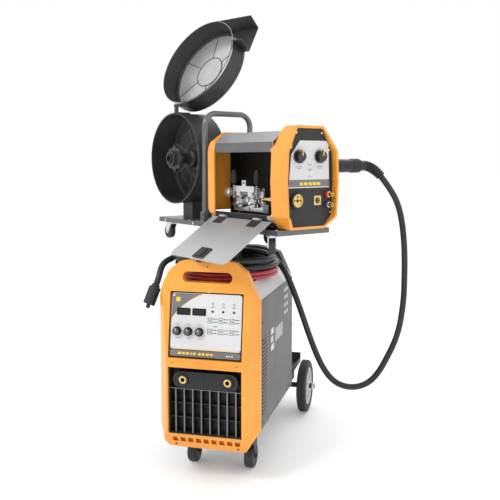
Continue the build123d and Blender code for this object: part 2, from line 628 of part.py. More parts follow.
def lid_closed():
    """Dished drum lid in its closed place; one corner is squared off as an open-ended wire duct."""
    y_rim = -DRUM_D - LID_GAP
    plane = Plane(origin=(DRUM_U, y_rim, DRUM_Z), x_dir=(1, 0, 0), z_dir=(0, -1, 0))

    def duct(wall):
        corners = [(0, -LID_R + wall), (190, -LID_R - 4 + wall), (190, -72 - wall), (60, -72 - wall)]
        return make_face(Polyline(*corners, close=True))

    dish = extrude(plane * Circle(LID_R), LID_D)
    dish = fillet(dish.edges().group_by(Axis.Y)[0], 12)
    hollow = extrude(plane * Circle(LID_R - LID_WALL), LID_D - LID_WALL)
    hollow = fillet(hollow.edges().group_by(Axis.Y)[0], 9)
    dish += extrude(plane * duct(0), LID_D - 4)
    hollow += extrude(plane * duct(LID_WALL), LID_D - 4 - LID_WALL)
    lid = dish - hollow
    end = DUCT_END
    lid -= prism_z([(end, y_rim + 5), (end, y_rim), (end - 26, y_rim - LID_D), (end - 26, y_rim - 100), (end + 60, y_rim)],
                   700, 1000)
    hx, hy, hz = LID_HINGE
    pin = Plane(origin=LID_HINGE, x_dir=(0, 0, 1), z_dir=lid_axis())
    crown = DRUM_Z + LID_R
    leaf = prism_x([(y_rim - 16, crown - 6), (y_rim - 16, crown + 4), (hy - 4, hz + 5), (hy + 2, hz + 2), (y_rim, crown + 1),
                    (y_rim, crown - 6)], hx - 3, hx + 14)
    leaf += extrude(pin.offset(-5.5) * Circle(6), 21)
    leaf -= extrude(plane * Circle(LID_R - 1), LID_D - 1)
    lid += leaf
    lid -= extrude(pin.offset(-40) * Circle(2.5 + FIT), 80)
    return solid_of(lid)


def spool_lid():
    hinge = Axis(LID_HINGE, lid_axis())
    return lid_closed().rotate(hinge, -LID_OPEN)


def spool_hub():
    """Spool spindle with its flange and the knurled nut that holds the spool."""
    y = -8 - GAP
    hub = rod((DRUM_U, y, DRUM_Z), (0, -1, 0), 32, 6)
    hub += rod((DRUM_U, y - 6, DRUM_Z), (0, -1, 0), 17, 30)
    hub += rod((DRUM_U, y - 36, DRUM_Z), (0, -1, 0), 13, 68)
    nut = rod((DRUM_U, y - 96, DRUM_Z), (0, -1, 0), 21, 14)
    for i in range(8):
        angle = math.radians(i * 45)
        nut -= rod((DRUM_U + 24 * math.cos(angle), y - 90, DRUM_Z + 24 * math.sin(angle)), (0, -1, 0), 5, 30)
    hub += nut
    hub += rod((DRUM_U, y - 108, DRUM_Z), (0, -1, 0), 15, 16)
    hub -= rod((DRUM_U, y - 104, DRUM_Z), (0, -1, 0), 11, 30)
    hub += rod((DRUM_U, y - 2, DRUM_Z), (0, 1, 0), HUB_BORE_R, 16)
    return hub


def door_shut(u0, u1, far, thick):
    return block(u0, u1, DOOR_HINGE_Y - DOOR_OFFSET - thick, DOOR_HINGE_Y - DOOR_OFFSET, DOOR_HINGE_Z + 2, far)


def side_door():
    """Hinged sheet door, drawn shut and then swung open."""
    top = DOOR_HINGE_Z + DOOR_LEN
    door = door_shut(DOOR_U0, DOOR_U1, top, DOOR_T)
    corners = [e for e in door.edges().filter_by(Axis.Y) if e.center().Z > top - 1]
    door = fillet(corners, 22)
    y_in = DOOR_HINGE_Y - DOOR_OFFSET
    for u in HINGE_US:
        door += ring((u - 13, DOOR_HINGE_Y, DOOR_HINGE_Z), (1, 0, 0), 4.5, DOOR_PIN_R + FIT, 26)
        door += block(u - 12, u + 12, y_in - 0.5, y_in + 1.2, DOOR_HINGE_Z + 3, DOOR_HINGE_Z + 26)
    door -= rod((DOOR_U0 - 5, DOOR_HINGE_Y, DOOR_HINGE_Z), (1, 0, 0), DOOR_PIN_R + FIT, 400)
    door -= rod((LATCH_U, -150, DOOR_HINGE_Z + LATCH_UP), (0, 1, 0), 5 + FIT, 100)
    return door.rotate(Axis((0, DOOR_HINGE_Y, DOOR_HINGE_Z), (1, 0, 0)), DOOR_OPEN)


LATCH_U, LATCH_UP = 148, 174


def door_latch():
    """Quarter-turn latch through the door, drawn shut and swung open with it."""
    y_out = DOOR_HINGE_Y - DOOR_OFFSET - DOOR_T
    z = DOOR_HINGE_Z + LATCH_UP
    latch = rod((LATCH_U, y_out - GAP, z), (0, -1, 0), 15, 6)
    latch += block(LATCH_U - 10, LATCH_U + 10, y_out - 13, y_out - 6, z - 30, z + 26)
    latch += rod((LATCH_U, y_out - 2, z), (0, 1, 0), 5, 12)
    latch += block(LATCH_U - 4, LATCH_U + 4, y_out + DOOR_T + 3, y_out + DOOR_T + 6, z - 5, z + 20)
    return latch.rotate(Axis((0, DOOR_HINGE_Y, DOOR_HINGE_Z), (1, 0, 0)), DOOR_OPEN)


def relief_path():
    """Centre line of the bend relief: sideways off the casing, then drooping outwards."""
    start = Vector(HORN_U, RELIEF_Y0, HORN_Z)
    droop = math.radians(RELIEF_BEND)
    turn = math.radians(RELIEF_TURN)
    end_dir = Vector(math.sin(turn) * math.cos(droop), math.cos(turn) * math.cos(droop), -math.sin(droop))
    angle = Vector(0, 1, 0).get_angle(end_dir)
    leg = RELIEF_BEND_R * math.tan(math.radians(angle / 2))
    corner = start + Vector(0, 1, 0) * leg
    end = corner + end_dir * leg
    return FilletPolyline(start - Vector(0, 0.5, 0), corner, end + end_dir * 0.5, radius=RELIEF_BEND_R)


def lead_gland():
    """Lead socket housing, collar and bend relief on the feeder's far side."""
    foot = Plane(origin=(HORN_U, HORN_Y0, HORN_Z), z_dir=(0, 1, 0))
    gland = extrude(foot * Circle(23), HORN_Y1 - HORN_Y0, taper=1.2)
    gland += extrude(foot * Circle(30), 13)
    gland -= prism_x(mirrored(FRONT_BEZEL_OUTLINE), 200, 367, 10)
    gland -= prism_x(mirrored(case_half(0)), 200, 300)
    gland += rod((HORN_U, HORN_Y1 - 0.5, HORN_Z), (0, 1, 0), 21, 38)
    gland += rod((HORN_U, HORN_Y1 + 37, HORN_Z), (0, 1, 0), 16, RELIEF_Y0 - HORN_Y1 - 36.5)
    path = relief_path()
    start = Plane(origin=path @ 0, z_dir=path % 0)
    gland += sweep(start * Circle(13.5), path=path)
    return solid_of(gland)


# ---------------------------------------------------------------- cables

LEAD_ROUTE = [
    (481.1, 383.1, 932.4), (512.9, 386.6, 891.4), (537, 395, 842), (550, 402, 785), (557, 407, 722), (560, 410, 657),
    (560, 411, 592), (559, 411, 535), (554, 411, 484), (546, 411, 432), (532, 409, 383), (510, 407, 334),
    (484, 404, 282), (453, 400, 243), (412, 393, 224), (367, 386, 225), (328, 379, 246), (296, 372, 291),
    (270, 367, 350), (247, 365, 412), (226, 363, 474), (205, 361, 532), (182, 361, 588), (155, 366, 634),
    (118, 384, 664),
]
TAIL_ROUTE = [(-171, 183, 667), (-178, 150, 664), (-182, 122, 645), (-182, 106, 619), (-188.5, 98.7, 597.1)]
PLUG_TOP, PLUG_TIP = (-188.6, 98.6, 596.7), (-209.8, 74.9, 525.5)


def bend_radii(route):
    """Each arc takes 0.45 of the shorter run beside it."""
    radii = []
    for before, point, after in zip(route, route[1:], route[2:]):
        a = Vector(point) - Vector(before)
        b = Vector(after) - Vector(point)
        turn = math.radians(a.get_angle(b))
        radii.append(0.45 * min(a.length, b.length) / math.tan(turn / 2))
    return radii


def cable(route, radius):
    radii = bend_radii(route)
    path = FilletPolyline(*route, radius=radii)
    start = Plane(origin=path @ 0, z_dir=path % 0)
    tube = sweep(start * Circle(radius), path=path)
    share = tube.volume / (math.pi * radius ** 2 * path.length)
    print("cable length", round(path.length), "radii", [round(r) for r in radii], "volume share", round(share, 4))
    return tube


def coil(outer, inner, z0, z1):
    """Outer shape of a coil: a flat ring with rounded edges."""
    body = ring((COIL_X, COIL_Y, z0), (0, 0, 1), outer, inner, z1 - z0)
    return fillet(body.edges().filter_by(GeomType.CIRCLE), (z1 - z0) * 0.3)


def lead_plug():
    axis = Vector(PLUG_TIP) - Vector(PLUG_TOP)
    down = (axis.X, axis.Y, axis.Z)
    plane = Plane(origin=PLUG_TOP, z_dir=down)
    grip = extrude(plane * Circle(13), 8) + extrude(plane.offset(8) * Circle(19), 58)
    grip = fillet(grip.edges().filter_by(GeomType.CIRCLE), 2.5)
    pin = extrude(plane.offset(60) * Circle(6.3), axis.length - 60)
    return grip + pin


def hose_coupler():
    body = rod((COIL_X - 103, COIL_Y - 24, 627), (0, 1, 0), 10, 30)
    body += rod((COIL_X - 103, COIL_Y - 24, 627), (0, 1, 0), 7, 48)
    return body


# ---------------------------------------------------------------- files

keep("chassis", chassis(), cart_place)
keep("front_bezel", front_bezel(), cart_place)
keep("rear_bezel", rear_bezel(), cart_place)
keep("side_panel_left", [side_panel(-1)] + panel_screws(-1), cart_place)
keep("side_panel_right", [side_panel(1)] + panel_screws(1), cart_place)
keep("roof_panel", roof_panel(), cart_place)
keep("control_panel", control_panel(), cart_place)
for i, (x, z) in enumerate(KNOBS):
    keep(f"control_knob_{i + 1}", knob(on_panel(x, z), PANEL_NORMAL, 13, 11, 17, 3), cart_place)
for i, (x, z) in enumerate(BUTTONS):
    keep(f"mode_button_{i + 1}", button(x, z), cart_place)
keep("front_grille", front_grille(), cart_place)
keep("output_sockets", output_sockets(), cart_place)
keep("power_module", power_module(), cart_place)
keep("fan_rotor", fan_rotor(), cart_place)
keep("main_switch", main_switch(), cart_place)
keep("swivel_post", swivel_post(), cart_place)
for side, name in ((-1, "left"), (1, "right")):
    sizes = (CASTER_R, CASTER_W, CASTER_R, CASTER_TRAIL, 90)
    pivot_y = CASTER_Y - CASTER_TRAIL
    keep(f"caster_fork_{name}", caster_fork(side * CASTER_X, pivot_y, CASTER_TOP, *sizes), cart_place)
    keep(f"caster_wheel_{name}", caster_wheel(side * CASTER_X, pivot_y, *sizes), cart_place)
    keep(f"rear_wheel_{name}", rear_tyre(side), cart_place)

keep("feeder_base", feeder_base(), feeder_place)
for name, (x, y, heading) in NEAR_CASTERS.items():
    sizes = (FEED_CASTER_R, FEED_CASTER_W, FEED_CASTER_Z, FEED_TRAIL, heading)
    keep(f"feeder_fork_{name}", caster_fork(x, y, BASE_Z0, *sizes), feeder_place)
    keep(f"feeder_wheel_{name}", caster_wheel(x, y, *sizes), feeder_place)
for name, u in zip(("far_rear", "far_front"), FAR_CASTERS):
    sizes = (FEED_CASTER_R, FEED_CASTER_W, FEED_CASTER_Z, 0, 0)
    keep(f"feeder_wheel_{name}", caster_wheel(u, 80, *sizes), feeder_place)
keep("feeder_handle", feeder_handle(), feeder_place)
keep("feeder_shell", feeder_shell(), feeder_place)
keep("feeder_bezels", feeder_bezels(), feeder_place)
keep("feeder_panel", feeder_panel(), feeder_place)
for name, (y, z) in zip(("left", "right"), FEEDER_KNOBS):
    center = (PANEL_U + 4, y, z)
    keep(f"feeder_knob_{name}", knob(center, (1, 0, 0), 20, 15, 18, 3), feeder_place)
keep("toggle_switch", toggle_switch(), feeder_place)
keep("feeder_sockets", feeder_sockets(), feeder_place)
keep("drive_unit", drive_unit(), feeder_place)
lower_rolls, upper_rolls = roll_places()
for name, (x, z) in zip(("drive_roll_rear", "drive_roll_front"), lower_rolls):
    keep(name, drive_roll(x, z), feeder_place)
for name, (x, z) in zip(("pressure_roll_rear", "pressure_roll_front"), upper_rolls):
    keep(name, drive_roll(x, z), feeder_place)
keep("pressure_arm", pressure_arm(), feeder_place)
for name, x in zip(("rear", "front"), TENSION_US):
    keep(f"tension_lever_{name}", tension_lever(x), feeder_place)
keep("drum_base", [drum_base(), lid_bracket()], feeder_place)
keep("spool_lid", spool_lid(), feeder_place)
keep("spool_hub", spool_hub(), feeder_place)
keep("side_door", side_door(), feeder_place)
keep("door_latch", door_latch(), feeder_place)
keep("lead_gland", lead_gland(), feeder_place)

keep("lead_cable", cable(LEAD_ROUTE, LEAD_R), cart_place)
keep("lead_coil", coil(LEAD_COIL_OUT, LEAD_COIL_IN, LEAD_COIL_Z0, LEAD_COIL_Z1), cart_place)
keep("lead_tail", cable(TAIL_ROUTE, LEAD_R), cart_place)
keep("lead_plug", lead_plug(), cart_place)
keep("hose_coil", coil(HOSE_COIL_OUT, HOSE_COIL_IN, HOSE_COIL_Z0, HOSE_COIL_Z1), cart_place)
keep("hose_coupler", hose_coupler(), cart_place)

for name, shape in nodes.items():
    export_step(shape, f"parts/{name}.step")
print(len(nodes), "nodes")
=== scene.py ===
import math

import bpy
from mathutils import Matrix, Vector


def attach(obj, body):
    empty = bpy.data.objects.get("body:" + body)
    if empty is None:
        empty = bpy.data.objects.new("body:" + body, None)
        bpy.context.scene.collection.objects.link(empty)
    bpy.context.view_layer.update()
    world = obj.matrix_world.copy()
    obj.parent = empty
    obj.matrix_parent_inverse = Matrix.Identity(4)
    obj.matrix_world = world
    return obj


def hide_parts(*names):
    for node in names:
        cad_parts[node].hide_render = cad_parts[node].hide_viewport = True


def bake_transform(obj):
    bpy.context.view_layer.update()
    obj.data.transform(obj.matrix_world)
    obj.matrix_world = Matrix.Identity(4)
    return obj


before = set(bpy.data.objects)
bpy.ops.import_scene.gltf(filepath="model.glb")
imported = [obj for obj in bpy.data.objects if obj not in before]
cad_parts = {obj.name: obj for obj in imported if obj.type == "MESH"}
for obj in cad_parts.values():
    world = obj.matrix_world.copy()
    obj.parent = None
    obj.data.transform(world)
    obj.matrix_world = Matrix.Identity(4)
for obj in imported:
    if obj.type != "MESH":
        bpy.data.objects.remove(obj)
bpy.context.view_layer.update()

# ---------------------------------------------------------------- frames
# Sizes below are millimetres in the cart's own datum or in the feeder's; MM turns them to metres.
MM = 0.001
CART_X, CART_Y = -71.42, -391.82
FEEDER_YAW = -38.1
SWIVEL = (0, 330)
SWIVEL_U = -26
CART = Matrix.Scale(MM, 4) @ Matrix.Translation((CART_X, CART_Y, 0))
FEEDER = (CART @ Matrix.Translation((SWIVEL[0], SWIVEL[1], 0)) @ Matrix.Rotation(math.radians(FEEDER_YAW), 4,
        "Z")
          @ Matrix.Translation((-SWIVEL_U, 0, 0)))
LID_HINGE, LID_TURN, LID_OPEN = Vector((-208, -101, 1173)), 3.6, 207
LID_AXIS = Vector((math.cos(math.radians(LID_TURN)), math.sin(math.radians(LID_TURN)), 0))
LID = (FEEDER @ Matrix.Translation(LID_HINGE) @ Matrix.Rotation(math.radians(-LID_OPEN), 4, LID_AXIS)
       @ Matrix.Translation(-LID_HINGE))
DOOR_Y, DOOR_Z, DOOR_OPEN = -101, 809, 123.7
DOOR = (FEEDER @ Matrix.Translation((0, DOOR_Y, DOOR_Z)) @ Matrix.Rotation(math.radians(DOOR_OPEN), 4, "X")
        @ Matrix.Translation((0, -DOOR_Y, -DOOR_Z)))
LEAN = math.radians(8)
PANEL = CART @ Matrix.Translation((0, 6, 394)) @ Matrix.Rotation(-LEAN, 4, "X")
DRUM = (-227, 991, 155)
AXLE_Y, AXLE_Z = 755, 100

# ---------------------------------------------------------------- materials


def socket(shader, name, value):
    if name in shader.inputs:
        shader.inputs[name].default_value = value


def material(name, dark, light, roughness, metallic=0.0, grain=220.0, bump=0.08, coat=0.0, blotch=6.0,
             spread=0.08,
             specular=0.5):
    """A painted, moulded or metal surface: blotchy tone, fine grain in the bump and a varied gloss."""
    mat = bpy.data.materials.new(name)
    mat.use_nodes = True
    nodes, links = mat.node_tree.nodes, mat.node_tree.links
    shader = nodes["Principled BSDF"]
    socket(shader, "Metallic", metallic)
    socket(shader, "Specular IOR Level", specular)
    socket(shader, "Coat Weight", coat)
    socket(shader, "Coat Roughness", 0.12)
    place = nodes.new("ShaderNodeTexCoord")
    broad = nodes.new("ShaderNodeTexNoise")
    broad.inputs["Scale"].default_value = blotch
    broad.inputs["Detail"].default_value = 6
    fine = nodes.new("ShaderNodeTexNoise")
    fine.inputs["Scale"].default_value = grain
    fine.inputs["Detail"].default_value = 3
    for noise in (broad, fine):
        links.new(place.outputs["Object"], noise.inputs["Vector"])
    blend = nodes.new("ShaderNodeMath")
    blend.operation = "MULTIPLY_ADD"
    blend.inputs[1].default_value = 0.4
    links.new(fine.outputs["Fac"], blend.inputs[0])
    links.new(broad.outputs["Fac"], blend.inputs[2])
    ramp = nodes.new("ShaderNodeValToRGB")
    ramp.color_ramp.elements[0].position = 0.5
    ramp.color_ramp.elements[1].position = 0.9
    ramp.color_ramp.elements[0].color = (*dark, 1)
    ramp.color_ramp.elements[1].color = (*light, 1)
    links.new(blend.outputs[0], ramp.inputs["Fac"])
    links.new(ramp.outputs["Color"], shader.inputs["Base Color"])
    gloss = nodes.new("ShaderNodeMapRange")
    gloss.inputs["To Min"].default_value = max(0.03, roughness - spread)
    gloss.inputs["To Max"].default_value = min(1.0, roughness + spread)
    links.new(broad.outputs["Fac"], gloss.inputs["Value"])
    links.new(gloss.outputs["Result"], shader.inputs["Roughness"])
    if bump:
        relief = nodes.new("ShaderNodeBump")
        relief.inputs["Strength"].default_value = bump
        relief.inputs["Distance"].default_value = 0.0006
        links.new(fine.outputs["Fac"], relief.inputs["Height"])
        links.new(relief.outputs["Normal"], shader.inputs["Normal"])
    return mat


def woven(name, dark, light, pitch):
    """A braided hose skin: crossed bands in tone and bump."""
    mat = material(name, dark, light, 0.42, grain=700, bump=0.12, coat=0.2)
    nodes, links = mat.node_tree.nodes, mat.node_tree.links
    wave = nodes.new("ShaderNodeTexWave")
    wave.inputs["Scale"].default_value = pitch
    wave.inputs["Distortion"].default_value = 1.5
    place = nodes["Texture Coordinate"]
    links.new(place.outputs["Object"], wave.inputs["Vector"])
    relief = nodes["Bump"]
    links.new(wave.outputs["Fac"], relief.inputs["Height"])
    return mat


M = {
    "orange": material("orange", (0.72, 0.27, 0.022), (0.84, 0.35, 0.040), 0.36, grain=900, bump=0.10,
                       coat=0.15),
    "case": material("case", (0.060, 0.062, 0.066), (0.125, 0.127, 0.132), 0.46, grain=1100, bump=0.28,
                     spread=0.05, specular=0.3),
    "light": material("light", (0.46, 0.465, 0.47), (0.58, 0.585, 0.59), 0.38, grain=1000, bump=0.15),
    "shell": material("shell", (0.26, 0.265, 0.27), (0.40, 0.405, 0.41), 0.32, metallic=0.3, grain=1000,
                      bump=0.15),
    # This mid grey is painted highlight for the grille fin edges and the louvre hood lips.
    "edge_highlight": material("edge_highlight", (0.13, 0.13, 0.13), (0.22, 0.22, 0.22), 0.45, grain=900, bump=0.15),
    # This near black serves print and display glass, and also painted shade in the louvre slots and socket holes.
    "ink_and_shade": material("ink_and_shade", (0.004, 0.004, 0.004), (0.009, 0.009, 0.009), 0.55, grain=500, bump=0.02,
                    specular=0.3),
    "sheet": material("sheet", (0.40, 0.40, 0.41), (0.56, 0.56, 0.57), 0.34, metallic=0.55, grain=800,
                      bump=0.06, blotch=3),
    "chassis": material("chassis", (0.020, 0.020, 0.022), (0.045, 0.045, 0.048), 0.45, grain=700, bump=0.18,
                        specular=0.3),
    "plastic": material("plastic", (0.012, 0.012, 0.013), (0.032, 0.032, 0.034), 0.42, grain=900, bump=0.22,
                        specular=0.3),
    "shiny": material("shiny", (0.008, 0.008, 0.009), (0.016, 0.016, 0.017), 0.16, grain=300, bump=0.02,
                      coat=0.5),
    "lidskin": material("lidskin", (0.014, 0.014, 0.015), (0.055, 0.055, 0.057), 0.40, grain=1300, bump=0.35,
                        specular=0.3),
    "lidfloor": material("lidfloor", (0.34, 0.34, 0.345), (0.74, 0.74, 0.75), 0.24, metallic=0.6, grain=1000,
                         bump=0.15, blotch=5),
    "film": material("film", (0.54, 0.545, 0.55), (0.64, 0.645, 0.65), 0.40, grain=1200, bump=0.03,
                     blotch=3),
    "greyfilm": material("greyfilm", (0.13, 0.12, 0.13), (0.19, 0.18, 0.19), 0.42, grain=1200, bump=0.03),
    "yellow": material("yellow", (0.80, 0.52, 0.01), (0.88, 0.60, 0.02), 0.40, grain=900, bump=0.02),
    "brass": material("brass", (0.62, 0.42, 0.13), (0.80, 0.60, 0.24), 0.24, metallic=1.0, grain=500,
                      bump=0.06),
    "steel": material("steel", (0.50, 0.50, 0.51), (0.66, 0.66, 0.67), 0.30, metallic=1.0, grain=600,
                      bump=0.06),
    "zinc": material("zinc", (0.60, 0.61, 0.63), (0.76, 0.77, 0.79), 0.22, metallic=1.0, grain=400,
                     bump=0.05),
    "cast": material("cast", (0.52, 0.52, 0.53), (0.86, 0.86, 0.87), 0.22, metallic=1.0, grain=500,
                     bump=0.25, blotch=18),
    "gunmetal": material("gunmetal", (0.10, 0.10, 0.105), (0.20, 0.20, 0.205), 0.32, metallic=0.7, grain=900,
                         bump=0.08),
    "tyre": material("tyre", (0.020, 0.020, 0.020), (0.050, 0.050, 0.050), 0.68, grain=500, bump=0.30,
                     specular=0.3),
    "roller": material("roller", (0.020, 0.020, 0.022), (0.045, 0.045, 0.048), 0.50, grain=500, bump=0.20,
                       specular=0.3),
    "cable": material("cable", (0.012, 0.012, 0.013), (0.030, 0.030, 0.031), 0.42, grain=700, bump=0.14,
                      coat=0.1, specular=0.3),
    "hose": woven("hose", (0.28, 0.012, 0.016), (0.46, 0.030, 0.030), 160),
    "core": material("core", (0.10, 0.07, 0.05), (0.22, 0.15, 0.10), 0.5, metallic=0.3, grain=400,
                     bump=0.3),
    "red": material("red", (0.55, 0.015, 0.015), (0.70, 0.03, 0.02), 0.35, bump=0.05),
    "blue": material("blue", (0.02, 0.05, 0.22), (0.03, 0.08, 0.32), 0.35, bump=0.05),
    "cream": material("cream", (0.72, 0.70, 0.62), (0.82, 0.80, 0.72), 0.40, bump=0.05),
}
NODE_LOOKS = {
    "chassis": "chassis", "front_bezel": "orange", "rear_bezel": "plastic", "side_panel_left": "case",
    "side_panel_right": "case", "roof_panel": "light", "control_panel": "plastic", "front_grille": "plastic",
    "output_sockets": "brass", "power_module": "core", "fan_rotor": "plastic", "main_switch": "plastic",
    "swivel_post": "gunmetal", "feeder_base": "gunmetal", "feeder_handle": "gunmetal",
    "feeder_shell": "shell",
    "feeder_bezels": "orange", "feeder_panel": "plastic", "toggle_switch": "zinc", "feeder_sockets": "brass",
    "drive_unit": "cast", "pressure_arm": "cast", "drum_base": "lidskin", "spool_lid": "lidskin",
    "spool_hub": "plastic", "side_door": "sheet", "door_latch": "plastic", "lead_gland": "plastic",
    "lead_plug": "plastic", "hose_coupler": "brass",
}
PREFIX_LOOKS = {
    "control_knob": "plastic", "mode_button": "plastic", "caster_fork": "plastic", "caster_wheel": "roller",
    "feeder_fork": "zinc", "feeder_wheel": "roller", "feeder_knob": "shiny", "drive_roll": "steel",
    "pressure_roll": "steel", "tension_lever": "plastic", "rear_wheel": "tyre", "lead_": "cable",
    "hose_": "hose",
}


def look_of(node):
    if node in NODE_LOOKS:
        return NODE_LOOKS[node]
    return next(look for prefix, look in PREFIX_LOOKS.items() if node.startswith(prefix))


for node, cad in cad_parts.items():
    cad.data.materials.clear()
    cad.data.materials.append(M[look_of(node)])

# ---------------------------------------------------------------- mesh helpers


def add_mesh(name, verts, faces, place, look, body, smooth=False, bevel=0.0):
    """A piece from vertices in millimetres of a local frame; it rides on a body."""
    mesh = bpy.data.meshes.new(name)
    mesh.from_pydata([place @ Vector(v) for v in verts], [], faces)
    mesh.validate()
    mesh.materials.append(M[look])
    piece = bpy.data.objects.new(name, mesh)
    bpy.context.scene.collection.objects.link(piece)
    for polygon in mesh.polygons:
        polygon.use_smooth = smooth
    if bevel:
        edge = piece.modifiers.new("edge", "BEVEL")
        edge.width = bevel * MM
        edge.segments = 2
        edge.limit_method = "ANGLE"
        edge.angle_limit = math.radians(40)
    if body:
        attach(piece, body)
    return piece


class Shape:
    """Gathers the vertices and faces of one piece in a local frame, in millimetres."""

    def __init__(self):
        self.verts, self.faces = [], []

    def add(self, verts, faces):
        base = len(self.verts)
        self.verts += [tuple(v) for v in verts]
        self.faces += [[base + i for i in face] for face in faces]
        return self

    def box(self, x0, x1, y0, y1, z0, z1, turn=None):
        corners = [Vector((x, y, z)) for x in (x0, x1) for y in (y0, y1) for z in (z0, z1)]
        if turn:
            middle = Vector(((x0 + x1) / 2, (y0 + y1) / 2, (z0 + z1) / 2))
            corners = [middle + turn @ (c - middle) for c in corners]
        sides = [(0, 1, 3, 2), (4, 6, 7, 5), (0, 4, 5, 1), (2, 3, 7, 6), (0, 2, 6, 4), (1, 5, 7, 3)]
        return self.add(corners, sides)

    def prism(self, outline, start, end):
        """A closed outline of points extruded from start to end, both vectors added to each point."""
        n = len(outline)
        verts = [Vector(p) + Vector(start) for p in outline] + [Vector(p) + Vector(end) for p in outline]
        sides = [(i, (i + 1) % n, n + (i + 1) % n, n + i) for i in range(n)]
        return self.add(verts, sides + [tuple(range(n))[::-1], tuple(range(n, 2 * n))])

    def lathe(self, profile, origin, axis, steps=48, closed=False):
        """A profile of (radius, height) turned about an axis through origin."""
        axis = Vector(axis).normalized()
        side = axis.orthogonal().normalized()
        other = axis.cross(side)
        verts, faces = [], []
        for i in range(steps):
            angle = 2 * math.pi * i / steps
            out = side * math.cos(angle) + other * math.sin(angle)
            verts += [Vector(origin) + axis * h + out * r for r, h in profile]
        n = len(profile)
        last = n if closed else n - 1
        for i in range(steps):
            j = (i + 1) % steps
            for k in range(last):
                k2 = (k + 1) % n
                faces.append((i * n + k, i * n + k2, j * n + k2, j * n + k))
        if not closed:
            faces.append([i * n for i in range(steps)])
            faces.append([i * n + n - 1 for i in range(steps)][::-1])
        return self.add(verts, faces)

    def disc(self, center, axis, radius, height, steps=32):
        return self.lathe([(radius, 0), (radius, height)], center, axis, steps)

    def ring(self, center, axis, outer, inner, height, steps=40):
        return self.lathe([(outer, 0), (outer, height), (inner, height), (inner, 0)], center, axis, steps,
                          closed=True)

    def piece(self, name, place, look, body, smooth=False, bevel=0.0):
        made = add_mesh(name, self.verts, self.faces, place, look, body, smooth, bevel)
        if smooth:
            made.data.set_sharp_from_angle(angle=math.radians(35))
        return made


def tube(name, path, radius, look, place=CART, steps=16):
    """A round tube along a path of points, with closed ends; returns the piece and its path in metres."""
    points = [Vector(p) for p in path]
    tangents = []
    for i, point in enumerate(points):
        before, after = points[max(0, i - 1)], points[min(len(points) - 1, i + 1)]
        tangents.append((after - before).normalized())
    normal = tangents[0].orthogonal().normalized()
    verts, faces = [], []
    for i, point in enumerate(points):
        normal = (normal - tangents[i] * normal.dot(tangents[i])).normalized()
        other = tangents[i].cross(normal)
        for k in range(steps):
            angle = 2 * math.pi * k / steps
            verts.append(point + (normal * math.cos(angle) + other * math.sin(angle)) * radius)
    for i in range(len(points) - 1):
        for k in range(steps):
            k2 = (k + 1) % steps
            faces.append((i * steps + k, i * steps + k2, (i + 1) * steps + k2, (i + 1) * steps + k))
    faces.append(list(range(steps))[::-1])
    faces.append([(len(points) - 1) * steps + k for k in range(steps)])
    piece = add_mesh(name, verts, faces, place, look, None, smooth=True)
    piece.data.set_sharp_from_angle(angle=math.radians(50))
    return piece, [tuple(place @ p) for p in points]


def spline(route, parts=6):
    """Points on the quadratic curve that runs through the middles of a route's runs."""
    points = [Vector(p) for p in route]
    ends = [points[0]] + [(a + b) / 2 for a, b in zip(points[1:], points[2:-1])] + [points[-1]]
    curve = [ends[0]]
    for start, control, end in zip(ends, points[1:-1], ends[1:]):
        for i in range(1, parts + 1):
            t = i / parts
            curve.append(start * (1 - t) ** 2 + control * 2 * t * (1 - t) + end * t * t)
    return curve


def coil_path(stations, step=8, wobble=1.2):
    """Points round the coil's centre through stations of (angle, radius, height), eased between them."""
    points = []
    for (a0, r0, z0), (a1, r1, z1) in zip(stations, stations[1:]):
        count = max(1, round((a1 - a0) / step))
        for i in range(count):
            t = i / count
            ease = t * t * (3 - 2 * t)
            angle = math.radians(a0 + (a1 - a0) * t)
            radius = r0 + (r1 - r0) * ease + wobble * math.sin(3.3 * angle)
            points.append((COIL[0] + radius * math.cos(angle), COIL[1] + radius * math.sin(angle),
                           z0 + (z1 - z0) * ease))
    a, r, z = stations[-1]
    points.append((COIL[0] + r * math.cos(math.radians(a)), COIL[1] + r * math.sin(math.radians(a)), z))
    return points


# ---------------------------------------------------------------- cables
COIL = (0, 245)
LEAD_R, HOSE_R = 10, 6.5
LEAD_ROUTE = [
    (478, 382.7, 936.5), (512.9, 386.6, 891.4), (537, 395, 842), (550, 402, 785), (557, 407, 722), (560, 410,
            657),
    (560, 411, 592), (559, 411, 535), (554, 411, 484), (546, 411, 432), (532, 409, 383), (510, 407, 334),
    (484, 404, 282), (453, 400, 243), (412, 393, 224), (367, 386, 225), (328, 379, 246), (296, 372, 291),
    (270, 367, 350), (247, 365, 412), (226, 363, 474), (205, 361, 532), (182, 361, 588), (155, 366, 634),
    (118, 384, 664),
]
TAIL_ROUTE = [(-171, 183, 667), (-178, 150, 664), (-182, 122, 645), (-182, 106, 619), (-188.5, 98.7, 597.1)]
LEAD_TURNS = [
    (49.7, 182, 664), (95, 161, 676.5), (330, 161, 676.5), (400, 138, 676.5), (640, 138, 676.5), (720, 138,
            655.2),
    (980, 138, 655.2), (1060, 160, 655.2), (1430, 160, 655.2), (1560, 163, 655.2), (1639.9, 181, 667),
]
HOSE_TURNS = [
    (200, 161, 636), (520, 161, 636), (580, 147, 636), (880, 147, 636), (940, 133, 636), (1240, 133, 636),
    (1300, 133, 623.6), (1600, 133, 623.6), (1660, 147, 623.6), (1960, 147, 623.6), (2020, 161, 623.6),
    (2180, 161, 623.6), (2270, 140, 624.5), (2326.9, 107, 627),
]

lead, lead_path = tube("lead_skin", spline(LEAD_ROUTE), LEAD_R, "cable")
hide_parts("lead_cable")
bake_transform(lead)

turns, turns_path = tube("lead_turns", coil_path(LEAD_TURNS), LEAD_R - 0.2, "cable")
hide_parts("lead_coil")
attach(turns, "power_source")

tail, tail_path = tube("lead_end", spline(TAIL_ROUTE), LEAD_R, "cable")
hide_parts("lead_tail")
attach(tail, "power_source")

